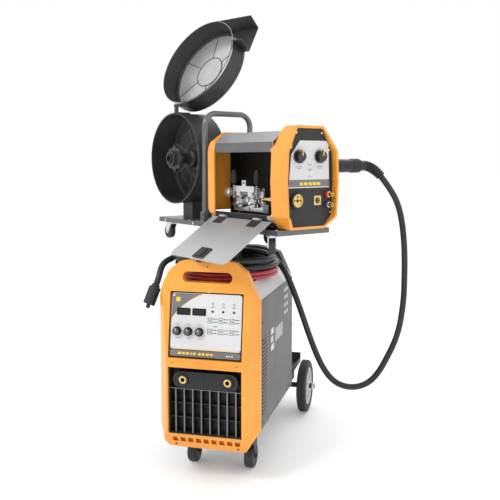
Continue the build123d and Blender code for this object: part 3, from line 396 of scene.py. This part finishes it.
hose, hose_path = tube("hose_turns", coil_path(HOSE_TURNS, wobble=0.6), HOSE_R - 0.2, "hose")
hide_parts("hose_coil")
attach(hose, "power_source")

# ---------------------------------------------------------------- power source
SIDE_FACE = 160.05              # just proud of the right-hand side panel
LOUVRES, LOUVRE_Z, LOUVRE_PITCH = 21, 214, 11.4
ROOT, FEED = "power_source", "feeder"


def round_rect(x0, x1, z0, z1, radius, steps=6):
    """Corner points of a rounded rectangle in the XZ plane."""
    points = []
    for cx, cz, start in ((x1 - radius, z1 - radius, 0), (x0 + radius, z1 - radius, 90),
                          (x0 + radius, z0 + radius, 180), (x1 - radius, z0 + radius, 270)):
        for i in range(steps + 1):
            angle = math.radians(start + 90 * i / steps)
            points.append((cx + radius * math.cos(angle), 0, cz + radius * math.sin(angle)))
    return points


def on_face(shape, outline, front, back):
    """Extrude a face outline from front to back, along the panel's depth."""
    return shape.prism(outline, (0, front, 0), (0, back, 0))


PANEL_H = 195                   # height of the leaning panel, from its lower edge
FACE_X = 110
on_face(Shape(), round_rect(-FACE_X, FACE_X, 27, PANEL_H, 9), -0.9, 0.5).piece("panel_face", PANEL, "film",
        ROOT)
strip = on_face(Shape(), round_rect(-FACE_X, FACE_X, 6, 25, 5), -0.9, 0.5)
strip.piece("panel_strip", PANEL, "greyfilm", ROOT)


def corner_arc(offset):
    """Points of the printed arc across the panel's upper left corner, moved out by an offset."""
    points = []
    for i in range(13):
        t = i / 12
        across = 94 * (1 - t) ** 2 + 2 * 29 * t * (1 - t)
        down = 2 * 28 * t * (1 - t) + 76 * t * t
        points.append((-FACE_X + 1 + across + offset * 0.6, 0, PANEL_H - 1 - down - offset * 0.8))
    return points


on_face(Shape(), [(-FACE_X + 1, 0, PANEL_H - 1)] + corner_arc(0)[::-1], -1.3, -0.8).piece("panel_corner",
        PANEL, "greyfilm", ROOT)
on_face(Shape(), corner_arc(1.2) + corner_arc(2.9)[::-1], -1.4, -0.8).piece("panel_arc", PANEL, "yellow",
        ROOT)
badge = on_face(Shape(), round_rect(-FACE_X + 14, -FACE_X + 27, PANEL_H - 26, PANEL_H - 13, 2), -2.0, -1.2)
badge.piece("panel_badge", PANEL, "yellow", ROOT)

DISPLAY_X = (-71, -22)
glass, frames = Shape(), Shape()
for x in DISPLAY_X:
    on_face(frames, round_rect(x - 21.5, x + 21.5, 129, 150.5, 2.5), -1.9, -0.8)
    on_face(glass, round_rect(x - 19, x + 19, 131, 148.5, 1.5), -2.3, -1.8)
frames.piece("display_frames", PANEL, "ink_and_shade", ROOT)
glass.piece("display_glass", PANEL, "ink_and_shade", ROOT)


def segments(shape, x, z, w, h, depth, lit="abcdefg"):
    """A blank digit drawn from seven bars."""
    t = w * 0.16
    bars = {"a": (0, h, w, 0), "g": (0, h / 2, w, 0), "d": (0, 0, w, 0), "f": (0, h / 2, 0, h / 2),
            "b": (w, h / 2, 0, h / 2), "e": (0, 0, 0, h / 2), "c": (w, 0, 0, h / 2)}
    for key in lit:
        dx, dz, lx, lz = bars[key]
        shape.box(x + dx - t / 2, x + dx + lx + t / 2, depth - 0.25, depth, z + dz - t / 2,
                  z + dz + lz + t / 2)


digits = Shape()
for x in DISPLAY_X:
    for i in range(3):
        segments(digits, x - 13 + i * 10, 134.5, 6, 10.5, -2.25)
digits.piece("display_digits", PANEL, "chassis", ROOT)

legend, leds = Shape(), Shape()
for z in (117, 84):
    for i in range(3):
        x = 5 + i * 34
        for dz in (-4.6, 4.6):
            legend.box(x + 1, x + 13, -1.15, -0.8, z + dz - 3.4, z + dz - 2.2)
            legend.box(x + 1, x + 13, -1.15, -0.8, z + dz + 2.2, z + dz + 3.4)
            legend.box(x, x + 1.3, -1.15, -0.8, z + dz - 2.4, z + dz + 2.4)
            legend.box(x + 12.7, x + 14, -1.15, -0.8, z + dz - 2.4, z + dz + 2.4)
            leds.disc((x + 18, -0.8, z + dz), (0, -1, 0), 1.6, 0.9, 12)
            leds.disc((x + 26, -0.8, z + dz), (0, -1, 0), 1.6, 0.9, 12)
            legend.box(x + 20.4, x + 23.4, -1.1, -0.8, z + dz - 0.7, z + dz + 0.7)
            legend.box(x + 28.4, x + 31, -1.1, -0.8, z + dz - 0.7, z + dz + 0.7)
legend.box(24, 36, -1.1, -0.8, 98.5, 100.3)
for x in (20, 53, 86):
    legend.box(x - 6, x + 6, -1.1, -0.8, 155.5, 156.5)
    legend.box(x - 4, x + 4, -1.1, -0.8, 158.5, 159.3)
    legend.ring((x, -0.8, 166), (0, -1, 0), 3.4, 2.4, 0.35, 20)
legend.piece("panel_legend", PANEL, "ink_and_shade", ROOT)
leds.piece("panel_lamps", PANEL, "ink_and_shade", ROOT)
line = Shape().box(-FACE_X + 1, FACE_X - 1, -1.2, -0.8, 28, 29.8)
line.piece("panel_line", PANEL, "yellow", ROOT)

KNOB_X = (-89, -54, -19)
KNOB_Z = (474 - 394) / math.cos(LEAN)
ticks = Shape()
for x in KNOB_X:
    for i in range(11):
        angle = math.radians(-140 + 28 * i)
        cx, cz = x + 16.5 * math.sin(angle), KNOB_Z + 16.5 * math.cos(angle)
        turn = Matrix.Rotation(angle, 3, "Y")
        ticks.box(cx - 0.35, cx + 0.35, -1.1, -0.8, cz - 1.3, cz + 1.3, turn)
    ticks.box(x - 7, x + 7, -1.1, -0.8, KNOB_Z + 20.5, KNOB_Z + 21.5)
    ticks.box(x - 5, x + 5, -1.1, -0.8, KNOB_Z - 21.5, KNOB_Z - 20.5)
ticks.piece("knob_scales", PANEL, "greyfilm", ROOT)
for i, x in enumerate(KNOB_X):
    cap = Shape().disc((x, -17.2, KNOB_Z), (0, -1, 0), 8.6, 0.6, 28)
    cap.piece(f"knob_cap_{i + 1}", PANEL, "gunmetal", f"control_knob_{i + 1}")
    mark = Shape().box(x - 0.8, x + 0.8, -18.2, -17.6, KNOB_Z + 1, KNOB_Z + 8)
    mark.piece(f"knob_mark_{i + 1}", PANEL, "cream", f"control_knob_{i + 1}")

marks = Shape()
for i, (x0, x1) in enumerate(((-86, -74), (-72, -62), (-60, -49), (-46, -40), (-38, -28), (-22, -12),
                              (-10, 0), (3, 14), (17, 25))):
    slant = 2.2
    outline = [(x0, 0, 12), (x1 - 1.5, 0, 12), (x1 - 1.5 + slant, 0, 18.5), (x0 + slant, 0, 18.5)]
    on_face(marks, outline, -1.15, -0.85)
marks.piece("strip_marks", PANEL, "yellow", ROOT)
small = Shape()
for x0 in (66, 74, 82):
    small.box(x0, x0 + 5, -1.15, -0.85, 12, 16)
small.piece("strip_notes", PANEL, "film", ROOT)

# Light strips on the grille fins' front edges: painted highlight where the fin edges catch the light.
fin_highlights = Shape()
for i in range(8):
    x = (i - 3.5) * 27
    fin_highlights.box(x - 1.7, x + 1.7, 13.3, 14.6, 163, 300)
fin_highlights.box(-112, 112, 8.2, 8.9, 299, 300.5)
fin_highlights.piece("grille_fin_highlights", CART, "edge_highlight", ROOT)
# Dark plates on the side panel where the louvre slots open: painted shade inside the vents.
louvre_shade = Shape()
for i in range(LOUVRES):
    z = LOUVRE_Z + i * LOUVRE_PITCH
    louvre_shade.prism([(SIDE_FACE, 77, z - 1.5), (SIDE_FACE, 139, z - 1.5), (SIDE_FACE, 139, z + 5.5),
                   (SIDE_FACE, 77, z + 5.5)],
                  (0, 0, 0), (0.5, 0, 0))
louvre_shade.piece("side_louvre_shade", CART, "ink_and_shade", ROOT)
# The hood lips over the louvres take a lighter grey: painted highlight along their edges.
lit_hoods = Shape()
for i in range(LOUVRES):
    z = LOUVRE_Z + i * LOUVRE_PITCH
    lit_hoods.prism([(160.2, 77, z + 5.5), (162.6, 77, z + 5.0), (162.6, 77, z + 6.4), (160.2, 77, z + 7.6)],
                (0, 0, 0), (0, 62, 0))
lit_hoods.piece("side_hoods_highlight", CART, "edge_highlight", ROOT)

# The screw slots are dark bars laid on the heads: painted shade in the slots.
screws, slot_shade = Shape(), Shape()
for x, z in ((-103, 188), (103, 188), (-103, 34), (103, 34)):
    screws.lathe([(3.6, 0), (3.6, 0.8), (2.4, 1.7), (0.01, 1.9)], (x, -0.8, z), (0, -1, 0), 20)
    slot_shade.box(x - 1.9, x + 1.9, -2.75, -2.2, z - 0.4, z + 0.4)
screws.piece("panel_screws", PANEL, "zinc", ROOT, smooth=True)
slot_shade.piece("panel_screw_slot_shade", PANEL, "plastic", ROOT)

fixings = Shape()
fixings.lathe([(6.6, 0), (6.6, 1.2), (5, 2.4), (0.01, 2.8)], (0, 41, 668), (0, -1, 0), 24)
for side in (-1, 1):
    fixings.lathe([(4.2, 0), (4.2, 1.5), (0.01, 2)], (side * 98, 31, 121), (0, -1, 0), 18)
fixings.piece("bezel_screws", CART, "gunmetal", ROOT, smooth=True)

collars = Shape()
for x in (-70, 70):
    collars.lathe([(12.1, 0), (18.5, 0), (18.5, 3.5), (16.5, 6), (12.1, 6)], (x, 10.2, 327), (0, -1, 0), 48,
                  closed=True)
    for i in range(12):
        angle = 2 * math.pi * i / 12
        collars.disc((x + 17.6 * math.cos(angle), 9.6, 327 + 17.6 * math.sin(angle)), (0, -1, 0), 1.6, 4,
                     10)
collars.piece("socket_collars", CART, "plastic", ROOT, smooth=True)
wells = Shape()
for x in (-70, 70):
    wells.disc((x, 40, 327), (0, -1, 0), 6.3, 1, 24)
wells.piece("socket_wells", CART, "plastic", ROOT)

emblem = Shape()


def side_bar(y0, y1, z0, z1, slant=0.0):
    """A flat printed mark on the right-hand side panel."""
    emblem.prism([(SIDE_FACE, y0, z0), (SIDE_FACE, y1, z0), (SIDE_FACE, y1 + slant, z1), (SIDE_FACE, y0 + slant, z1)],
                 (0, 0, 0), (0.4, 0, 0))


for i, width in enumerate((44, 30, 38)):
    side_bar(190, 190 + width, 382 + i * 26, 401 + i * 26, 3)
for i in range(6):
    side_bar(254 + i * 19, 264 + i * 19, 398, 442, 4)
for i in range(4):
    for j in range(3):
        side_bar(392 + j * 22, 404 + j * 22, 536 - i * 26, 548 - i * 26)
emblem.piece("side_marks", CART, "film", ROOT)


def wheel_profile(width, radius, inner, ribs):
    """Half section of a ribbed tyre, outside first, as (radius, height)."""
    points = [(inner, -width / 2 + 2), (inner + 6, -width / 2), (radius - 12, -width / 2),
              (radius - 4, -width / 2 + 3)]
    span = width - 12
    for i in range(ribs):
        z0 = -span / 2 + span * i / ribs
        z1 = z0 + span / ribs
        points += [(radius, z0 + 0.4), (radius, z1 - 1.6), (radius - 2.6, z1 - 1.4),
                   (radius - 2.6, z1 - 0.2)]
    points += [(radius - 4, width / 2 - 3), (radius - 12, width / 2), (inner + 6, width / 2),
               (inner, width / 2 - 2)]
    return points


for side, name in ((-1, "left"), (1, "right")):
    center = (side * 168, AXLE_Y, AXLE_Z)
    tyre = Shape().lathe(wheel_profile(36, 99.9, 71, 4), center, (side, 0, 0), 96, closed=True)
    made = tyre.piece(f"tyre_{name}", CART, "tyre", f"rear_wheel_{name}", smooth=True)
    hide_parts(f"rear_wheel_{name}")
    rim = Shape().lathe([(71.5, -15), (71.5, 15), (68.5, 15.5), (66, 13), (64, 3), (40, 1), (24, 4),
                         (22, 17.5),
                         (10.2, 18), (10.2, -17), (22, -17), (24, -4), (40, -4), (64, -5), (66, -13), (68.5,
                                 -15.5)],
                        center, (side, 0, 0), 72, closed=True)
    rim.piece(f"rim_{name}", CART, "light", f"rear_wheel_{name}", smooth=True)
    nuts = Shape()
    for i in range(5):
        angle = 2 * math.pi * i / 5
        spot = (center[0] + side * 1.5, AXLE_Y + 50 * math.cos(angle), AXLE_Z + 50 * math.sin(angle))
        nuts.disc(spot, (side, 0, 0), 4.5, 4, 6)
    nuts.piece(f"rim_nuts_{name}", CART, "zinc", f"rear_wheel_{name}")
    cap = Shape().lathe([(14, 0), (14, 5), (11, 8), (0.01, 9)], (side * 196, AXLE_Y, AXLE_Z), (side, 0, 0),
                        32)
    cap.piece(f"axle_cap_{name}", CART, "zinc", ROOT, smooth=True)

# ---------------------------------------------------------------- wire feeder
PANEL_U = 345
plate = Shape()
face = [(-80, 905), (80, 905), (76, 1034), (68, 1043), (-37, 1043), (-70, 1002)]
plate.prism([(0, y, z) for y, z in face], (PANEL_U + 4.05, 0, 0), (PANEL_U + 4.5, 0, 0))
plate.piece("feeder_face", FEEDER, "film", FEED)
band = Shape().prism([(0, -79.5, 908), (0, 79.5, 908), (0, 79, 929), (0, -77, 929)],
                     (PANEL_U + 4.5, 0, 0), (PANEL_U + 4.8, 0, 0))
band.piece("feeder_band", FEEDER, "greyfilm", FEED)
sign = Shape()
for y0, y1 in ((30, 44), (14, 27), (-1, 10), (-20, -6), (-36, -24)):
    sign.prism([(0, y0, 913), (0, y1, 913), (0, y1 - 2, 921), (0, y0 - 2, 921)],
               (PANEL_U + 4.8, 0, 0), (PANEL_U + 5.1, 0, 0))
sign.box(PANEL_U + 3.1, PANEL_U + 3.5, 66, 78, 1050, 1062)
sign.box(PANEL_U + 3.1, PANEL_U + 3.5, -79, -66, 1020, 1034)
sign.piece("feeder_signs", FEEDER, "yellow", FEED)
print_marks = Shape()
for y in (-41, 41):
    for i in range(11):
        angle = math.radians(-140 + 28 * i)
        cy, cz = y + 24.5 * math.sin(angle), 997 + 24.5 * math.cos(angle)
        turn = Matrix.Rotation(-angle, 3, "X")
        print_marks.box(PANEL_U + 4.4, PANEL_U + 4.8, cy - 0.5, cy + 0.5, cz - 1.8, cz + 1.8, turn)
    print_marks.box(PANEL_U + 4.4, PANEL_U + 4.8, y - 12, y + 12, 966, 967.6)
    print_marks.box(PANEL_U + 4.4, PANEL_U + 4.8, y - 8, y + 8, 961.5, 962.8)
for z in (972, 938):
    print_marks.box(PANEL_U + 4.4, PANEL_U + 4.8, -7, 9, z, z + 1.4)
print_marks.piece("feeder_legend", FEEDER, "greyfilm", FEED)
for y, name in ((-41, "left"), (41, "right")):
    mark = Shape().box(PANEL_U + 22.3, PANEL_U + 23.2, y - 1.6, y + 1.6, 999, 1011.5)
    mark.box(PANEL_U + 10, PANEL_U + 11, y - 2, y + 2, 1012.5, 1016.4)
    mark.piece(f"feeder_knob_mark_{name}", FEEDER, "yellow", f"feeder_knob_{name}")

sockets = Shape().ring((PANEL_U + 9.15, -46, 868), (1, 0, 0), 24.6, 19.4, 1, 56)
sockets.ring((PANEL_U + 3.1, -46, 868), (1, 0, 0), 27, 24.2, 3.5, 56)
sockets.disc((PANEL_U + 5.1, 33, 867), (1, 0, 0), 8.5, 0.9, 32)
sockets.piece("socket_rings", FEEDER, "plastic", FEED, smooth=True)
pins = Shape()
for i in range(4):
    angle = math.pi / 4 + math.pi / 2 * i
    pins.disc((PANEL_U + 6, 33 + 4.2 * math.cos(angle), 867 + 4.2 * math.sin(angle)), (1, 0, 0), 1.1, 1.2,
              10)
# Dark discs on the socket face: painted shade inside the pin holes and the centre bore.
hole_shade = Shape()
for y, z in ((-11, 0), (11, 0), (0, 11)):
    hole_shade.disc((PANEL_U + 6.05, -46 + y, 868 + z), (1, 0, 0), 2.6, 0.5, 16)
hole_shade.disc((PANEL_U + 6.05, -46, 868), (1, 0, 0), 4.9, 0.3, 24)
hole_shade.piece("socket_hole_shade", FEEDER, "ink_and_shade", FEED)
for y, z in ((19, 853), (47, 853), (19, 881), (47, 881)):
    pins.disc((PANEL_U + 5.05, y + (2.5 if y < 30 else -2.5), z + (2.5 if z < 860 else -2.5)), (1, 0, 0),
              1.5, 0.8, 12)
pins.piece("socket_pins", FEEDER, "brass", FEED)
for z, look in ((884, "red"), (853, "blue")):
    collar = Shape().ring((PANEL_U + 5.2, 72, z), (1, 0, 0), 10, 8.55, 8, 32)
    collar.piece(f"coupling_collar_{look}", FEEDER, look, FEED, smooth=True)

screws = Shape()
for y, z in ((-86, 830), (86, 830), (-80, 1016), (80, 1016), (-50, 1066), (50, 1066)):
    screws.lathe([(3.2, 0), (3.2, 1), (0.01, 1.8)], (PANEL_U + 3, y, z), (1, 0, 0), 16)
for u in (40, 150, 260):
    screws.lathe([(4, 0), (4, 1), (0.01, 2.2)], (u, -94, 1026), (0, -1, 0), 18)
    screws.lathe([(4, 0), (4, 1), (0.01, 2.2)], (u, 94, 1026), (0, 1, 0), 18)
screws.piece("feeder_screws", FEEDER, "zinc", FEED, smooth=True)

liner = Shape().box(8, 288, 25.2, 25.9, 787, 1066)
liner.box(4, 290, -92, 25, 785.6, 787)
liner.box(-29.7, -28.9, -12, 25, 800, 1040)
liner.box(-29, 8, 25.2, 25.9, 800, 1050)
liner.box(4, 268, -95.3, -94.15, 786, 821.5)
liner.box(270, 294, -92, 25, 788, 800)
liner.piece("feeder_liner", FEEDER, "ink_and_shade", FEED)
header = Shape().box(4, 292, -96.2, -94.15, 1010.5, 1040)
header.piece("door_header", FEEDER, "gunmetal", FEED, bevel=0.6)
eyelet = Shape().lathe([(16, 0), (16, 3), (11, 6), (8.9, 6), (8.9, 0)], (-26, -22, 880), (1, 0, 0), 40,
                       closed=True)
eyelet.piece("wire_eyelet", FEEDER, "cream", FEED, smooth=True)
outlet = Shape().lathe([(9, 0), (9, 6), (6.5, 6), (6.5, 30), (9, 30), (9, 44), (5, 46), (5, 100)],
                       (190, -43, 865.6), (1, 0, 0), 24)
outlet.piece("wire_outlet", FEEDER, "brass", FEED, smooth=True)
bracket = Shape().box(196, 222, -52, -30, 822, 850).box(200, 206, -50, -38, 850, 857)
bracket.piece("outlet_bracket", FEEDER, "gunmetal", FEED, bevel=1)
wire, _ = tube("welding_wire", spline([(-70, -22, 884), (-20, -23, 880), (20, -42, 867), (60, -43, 865.6),
                                       (190, -43, 865.6)]),
               0.5, "brass", place=FEEDER, steps=8)
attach(wire, FEED)

bolts = Shape()
for u, z in ((31, 892), (179, 892), (31, 832), (179, 832), (105, 832), (105, 880)):
    bolts.disc((u, -36, z), (0, -1, 0), 4.6, 3.4, 6)
    bolts.ring((u, -36, z), (0, -1, 0), 6.4, 4.7, 1, 20)
for u in (74, 136):
    bolts.lathe([(7, 0), (7, 3), (4.5, 5), (0.01, 5.4)], (u, -57.5, 850), (0, -1, 0), 24)
bolts.piece("drive_bolts", FEEDER, "steel", FEED, smooth=True)
for u, name in ((74, "rear"), (136, "front")):
    for z, kind in ((850, "drive"), (881.2, "pressure")):
        teeth = Shape()
        for i in range(20):
            angle = 2 * math.pi * i / 20
            teeth.disc((u + 12.4 * math.cos(angle), -37.1, z + 12.4 * math.sin(angle)), (0, 1, 0), 1.4, 2.4,
                       6)
        teeth.piece(f"{kind}_teeth_{name}", FEEDER, "steel", f"{kind}_roll_{name}")
for u, name in ((45, "rear"), (165, "front")):
    spring = Shape()
    for i in range(8):
        spring.ring((u, -50.5, 866 + i * 5.2), (0, 0, 1), 5.4, 3.2, 2.2, 18)
    spring.piece(f"tension_spring_{name}", FEEDER, "steel", f"tension_lever_{name}")
    flutes = Shape()
    for i in range(12):
        angle = 2 * math.pi * i / 12
        flutes.disc((u + 8.6 * math.cos(angle), -50.5 + 8.6 * math.sin(angle), 913), (0, 0, 1), 1.5, 32, 8)
    flutes.piece(f"tension_grip_{name}", FEEDER, "plastic", f"tension_lever_{name}")

hinges = Shape()
for u in (53, 229):
    hinges.box(u - 20, u + 20, -98, -94.1, 788, 805)
hinges.piece("hinge_plates", FEEDER, "plastic", FEED, bevel=1)
for u, name in ((53, "rear"), (229, "front")):
    leaf = Shape().box(u - 22, u + 22, -104.4, -102.6, 813, 842)
    leaf.piece(f"hinge_leaf_{name}", DOOR, "plastic", "side_door", bevel=0.6)
pad = Shape().box(121, 175, -104.4, -100, 960, 1005)
pad.box(134, 162, -100.5, -96.5, 966, 999)
pad.piece("latch_pad", DOOR, "plastic", "door_latch", bevel=1.5)

DRUM_Y_RIM, LID_D = -113, 74
floor_disc = Shape().lathe([(150, 0), (150, 1.2), (57, 1.2), (57, 2.0), (0.01, 2.0)],
                           (DRUM[0], DRUM_Y_RIM - LID_D + 4.4, DRUM[1]), (0, 1, 0), 96)
floor_disc.piece("lid_floor", LID, "lidfloor", "spool_lid", smooth=True)
grooves = Shape()
ring_y = DRUM_Y_RIM - LID_D + 5.5
for i in range(6):
    angle = math.radians(18 + 60 * i)
    r0, r1 = 58, 147
    mid = (r0 + r1) / 2
    cx, cz = DRUM[0] + mid * math.cos(angle), DRUM[1] + mid * math.sin(angle)
    turn = Matrix.Rotation(-angle, 3, "Y")
    grooves.box(cx - (r1 - r0) / 2, cx + (r1 - r0) / 2, ring_y, ring_y + 1, cz - 1.1, cz + 1.1, turn)
grooves.ring((DRUM[0], ring_y, DRUM[1]), (0, 1, 0), 59, 56.4, 1.9, 64)
grooves.piece("lid_grooves", LID, "plastic", "spool_lid")
# A thin light steel ring on the lid's rim: painted highlight along the rim edge.
rim_highlight = Shape()
rim_highlight.ring((DRUM[0], DRUM_Y_RIM - 5, DRUM[1]), (0, 1, 0), 165.6, 163.8, 4.6, 120)
rim_highlight.piece("lid_rim_highlight", LID, "steel", "spool_lid", smooth=True)

drum_face = Shape().lathe([(150.5, 0), (150.5, 1.5), (51, 1.5), (51, 0)], (DRUM[0], -17, DRUM[1]),
                          (0, -1, 0), 96, closed=True)
drum_face.piece("drum_face", FEEDER, "lidskin", FEED, smooth=True)
spokes = Shape()
for i in range(8):
    angle = math.radians(22.5 + 45 * i)
    mid = 101
    cx, cz = DRUM[0] + mid * math.cos(angle), DRUM[1] + mid * math.sin(angle)
    spokes.box(cx - 46, cx + 46, -20.4, -18.4, cz - 2, cz + 2, Matrix.Rotation(-angle, 3, "Y"))
spokes.ring((DRUM[0], -18.4, DRUM[1]), (0, -1, 0), 66, 63, 2, 72)
spokes.ring((DRUM[0], -18.4, DRUM[1]), (0, -1, 0), 109, 106.5, 2, 96)
spokes.piece("drum_spokes", FEEDER, "case", FEED)
# A thin light ring where the drum's floor meets its wall: painted highlight on the fillet.
glint = Shape().ring((DRUM[0], -18.4, DRUM[1]), (0, -1, 0), 151.4, 149.2, 1.2, 120)
glint.piece("drum_edge_highlight", FEEDER, "cast", FEED, smooth=True)
boss = Shape().lathe([(50, 0), (50, 5), (46, 9), (33, 12), (30, 26), (21, 32), (18, 40), (18, 78)],
                     (DRUM[0], -19, DRUM[1]), (0, -1, 0), 64)
boss.piece("hub_boss", FEEDER, "lidskin", "spool_hub", smooth=True)
lobes = []
for i in range(96):
    angle = 2 * math.pi * i / 96
    radius = 41 + 5 * max(-0.6, math.cos(8 * angle))
    lobes.append((DRUM[0] + radius * math.cos(angle), 0, DRUM[1] + radius * math.sin(angle)))
nut = Shape().prism(lobes, (0, -97, 0), (0, -111, 0))
nut.piece("hub_nut", FEEDER, "lidskin", "spool_hub", bevel=1.5)
nut_ring = Shape().ring((DRUM[0], -111, DRUM[1]), (0, -1, 0), 26, 18, 16, 48)
nut_ring.piece("hub_nut_ring", FEEDER, "lidskin", "spool_hub", smooth=True)

drum_trim = Shape().ring((DRUM[0], -110.9, DRUM[1]), (0, 1, 0), 156.6, 154.8, 7, 120)
drum_trim.ring((DRUM[0], -4.6, DRUM[1]), (0, -1, 0), 118, 116, 2, 96)
drum_trim.ring((DRUM[0], -4.6, DRUM[1]), (0, -1, 0), 70, 68, 2, 72)
drum_trim.piece("drum_trim", FEEDER, "lidskin", FEED, smooth=True)
base_bolts = Shape()
for u in (-330, -150, -100, 20, 140, 260, 315):
    for side in (-1, 1):
        base_bolts.lathe([(5, 0), (5, 1.6), (0.01, 3.2)], (u, side * 96, 781), (0, 0, 1), 20)
for u in (-300, -120, 60, 240):
    base_bolts.lathe([(4.5, 0), (4.5, 1.4), (0.01, 2.6)], (u, -102, 773), (0, -1, 0), 20)
base_bolts.piece("base_bolts", FEEDER, "zinc", FEED, smooth=True)

RELIEF_R, RELIEF_BEND, RELIEF_TURN = 70, math.radians(52), math.radians(45.6)
relief_start = Vector((300, 275, 968))
first = Vector((0, 1, 0))
last = Vector((math.sin(RELIEF_TURN) * math.cos(RELIEF_BEND), math.cos(RELIEF_TURN) * math.cos(RELIEF_BEND),
               -math.sin(RELIEF_BEND)))
inward = (last - first * last.dot(first)).normalized()
sweep = first.angle(last)
ribs = Shape()
for i in range(11):
    angle = sweep * (0.04 + 0.92 * i / 10)
    spot = relief_start + first * (RELIEF_R * math.sin(angle)) + inward * (RELIEF_R * (1 - math.cos(angle)))
    along = first * math.cos(angle) + inward * math.sin(angle)
    ribs.lathe([(13.4, -1.9), (16.2, -1.2), (16.2, 1.2), (13.4, 1.9)], spot, along, 32, closed=True)
ribs.piece("relief_ribs", FEEDER, "plastic", FEED, smooth=True)
grips = Shape()
for i in range(14):
    angle = 2 * math.pi * i / 14
    spot = (300 + 21 * math.cos(angle), 218, 968 + 21 * math.sin(angle))
    grips.disc(spot, (0, 1, 0), 1.8, 33, 8)
grips.piece("collar_grips", FEEDER, "plastic", FEED, smooth=True)

# ---------------------------------------------------------------- floor, light and camera
ground = bpy.data.materials.new("ground")
ground.use_nodes = True
base = ground.node_tree.nodes["Principled BSDF"]
socket(base, "Base Color", (0.93, 0.93, 0.93, 1))
socket(base, "Roughness", 0.9)
socket(base, "Specular IOR Level", 0.1)
socket(base, "Emission Color", (1, 1, 1, 1))
socket(base, "Emission Strength", 0.13)
mesh = bpy.data.meshes.new("floor")
REACH = 30
mesh.from_pydata([(-REACH, -REACH, -0.0006), (REACH, -REACH, -0.0006), (REACH, REACH, -0.0006),
                  (-REACH, REACH, -0.0006)],
                 [], [(0, 1, 2, 3)])
mesh.materials.append(ground)
floor = bpy.data.objects.new("floor", mesh)
bpy.context.scene.collection.objects.link(floor)

world = bpy.data.worlds.new("studio")
world.use_nodes = True
world.node_tree.nodes["Background"].inputs["Color"].default_value = (1, 1, 1, 1)
world.node_tree.nodes["Background"].inputs["Strength"].default_value = 1.0
bpy.context.scene.world = world


def area(name, spot, target, size, power):
    light = bpy.data.lights.new(name, "AREA")
    light.size = size
    light.energy = power
    lamp = bpy.data.objects.new(name, light)
    lamp.location = spot
    lamp.rotation_euler = (Vector(target) - Vector(spot)).to_track_quat("-Z", "Y").to_euler()
    bpy.context.scene.collection.objects.link(lamp)


area("key", (-1.4, -2.6, 2.9), (0, 0, 0.8), 1.0, 42)
area("fill", (3.2, -1.4, 1.6), (0, 0, 0.7), 2.2, 16)
area("back", (0.6, 2.6, 2.8), (0, 0, 0.9), 1.8, 20)

camera = bpy.data.cameras.new("camera")
camera.sensor_width = 36
camera.lens = 52.6
camera.shift_y = -0.0686
camera.clip_end = 100
eye = bpy.data.objects.new("camera", camera)
eye.location = CART @ Vector((668.5, -2024.1, 991.7))
eye.rotation_euler = (math.radians(85.5), 0, math.radians(14.6))
bpy.context.scene.collection.objects.link(eye)
bpy.context.scene.camera = eye
bpy.context.scene.view_settings.view_transform = "Standard"
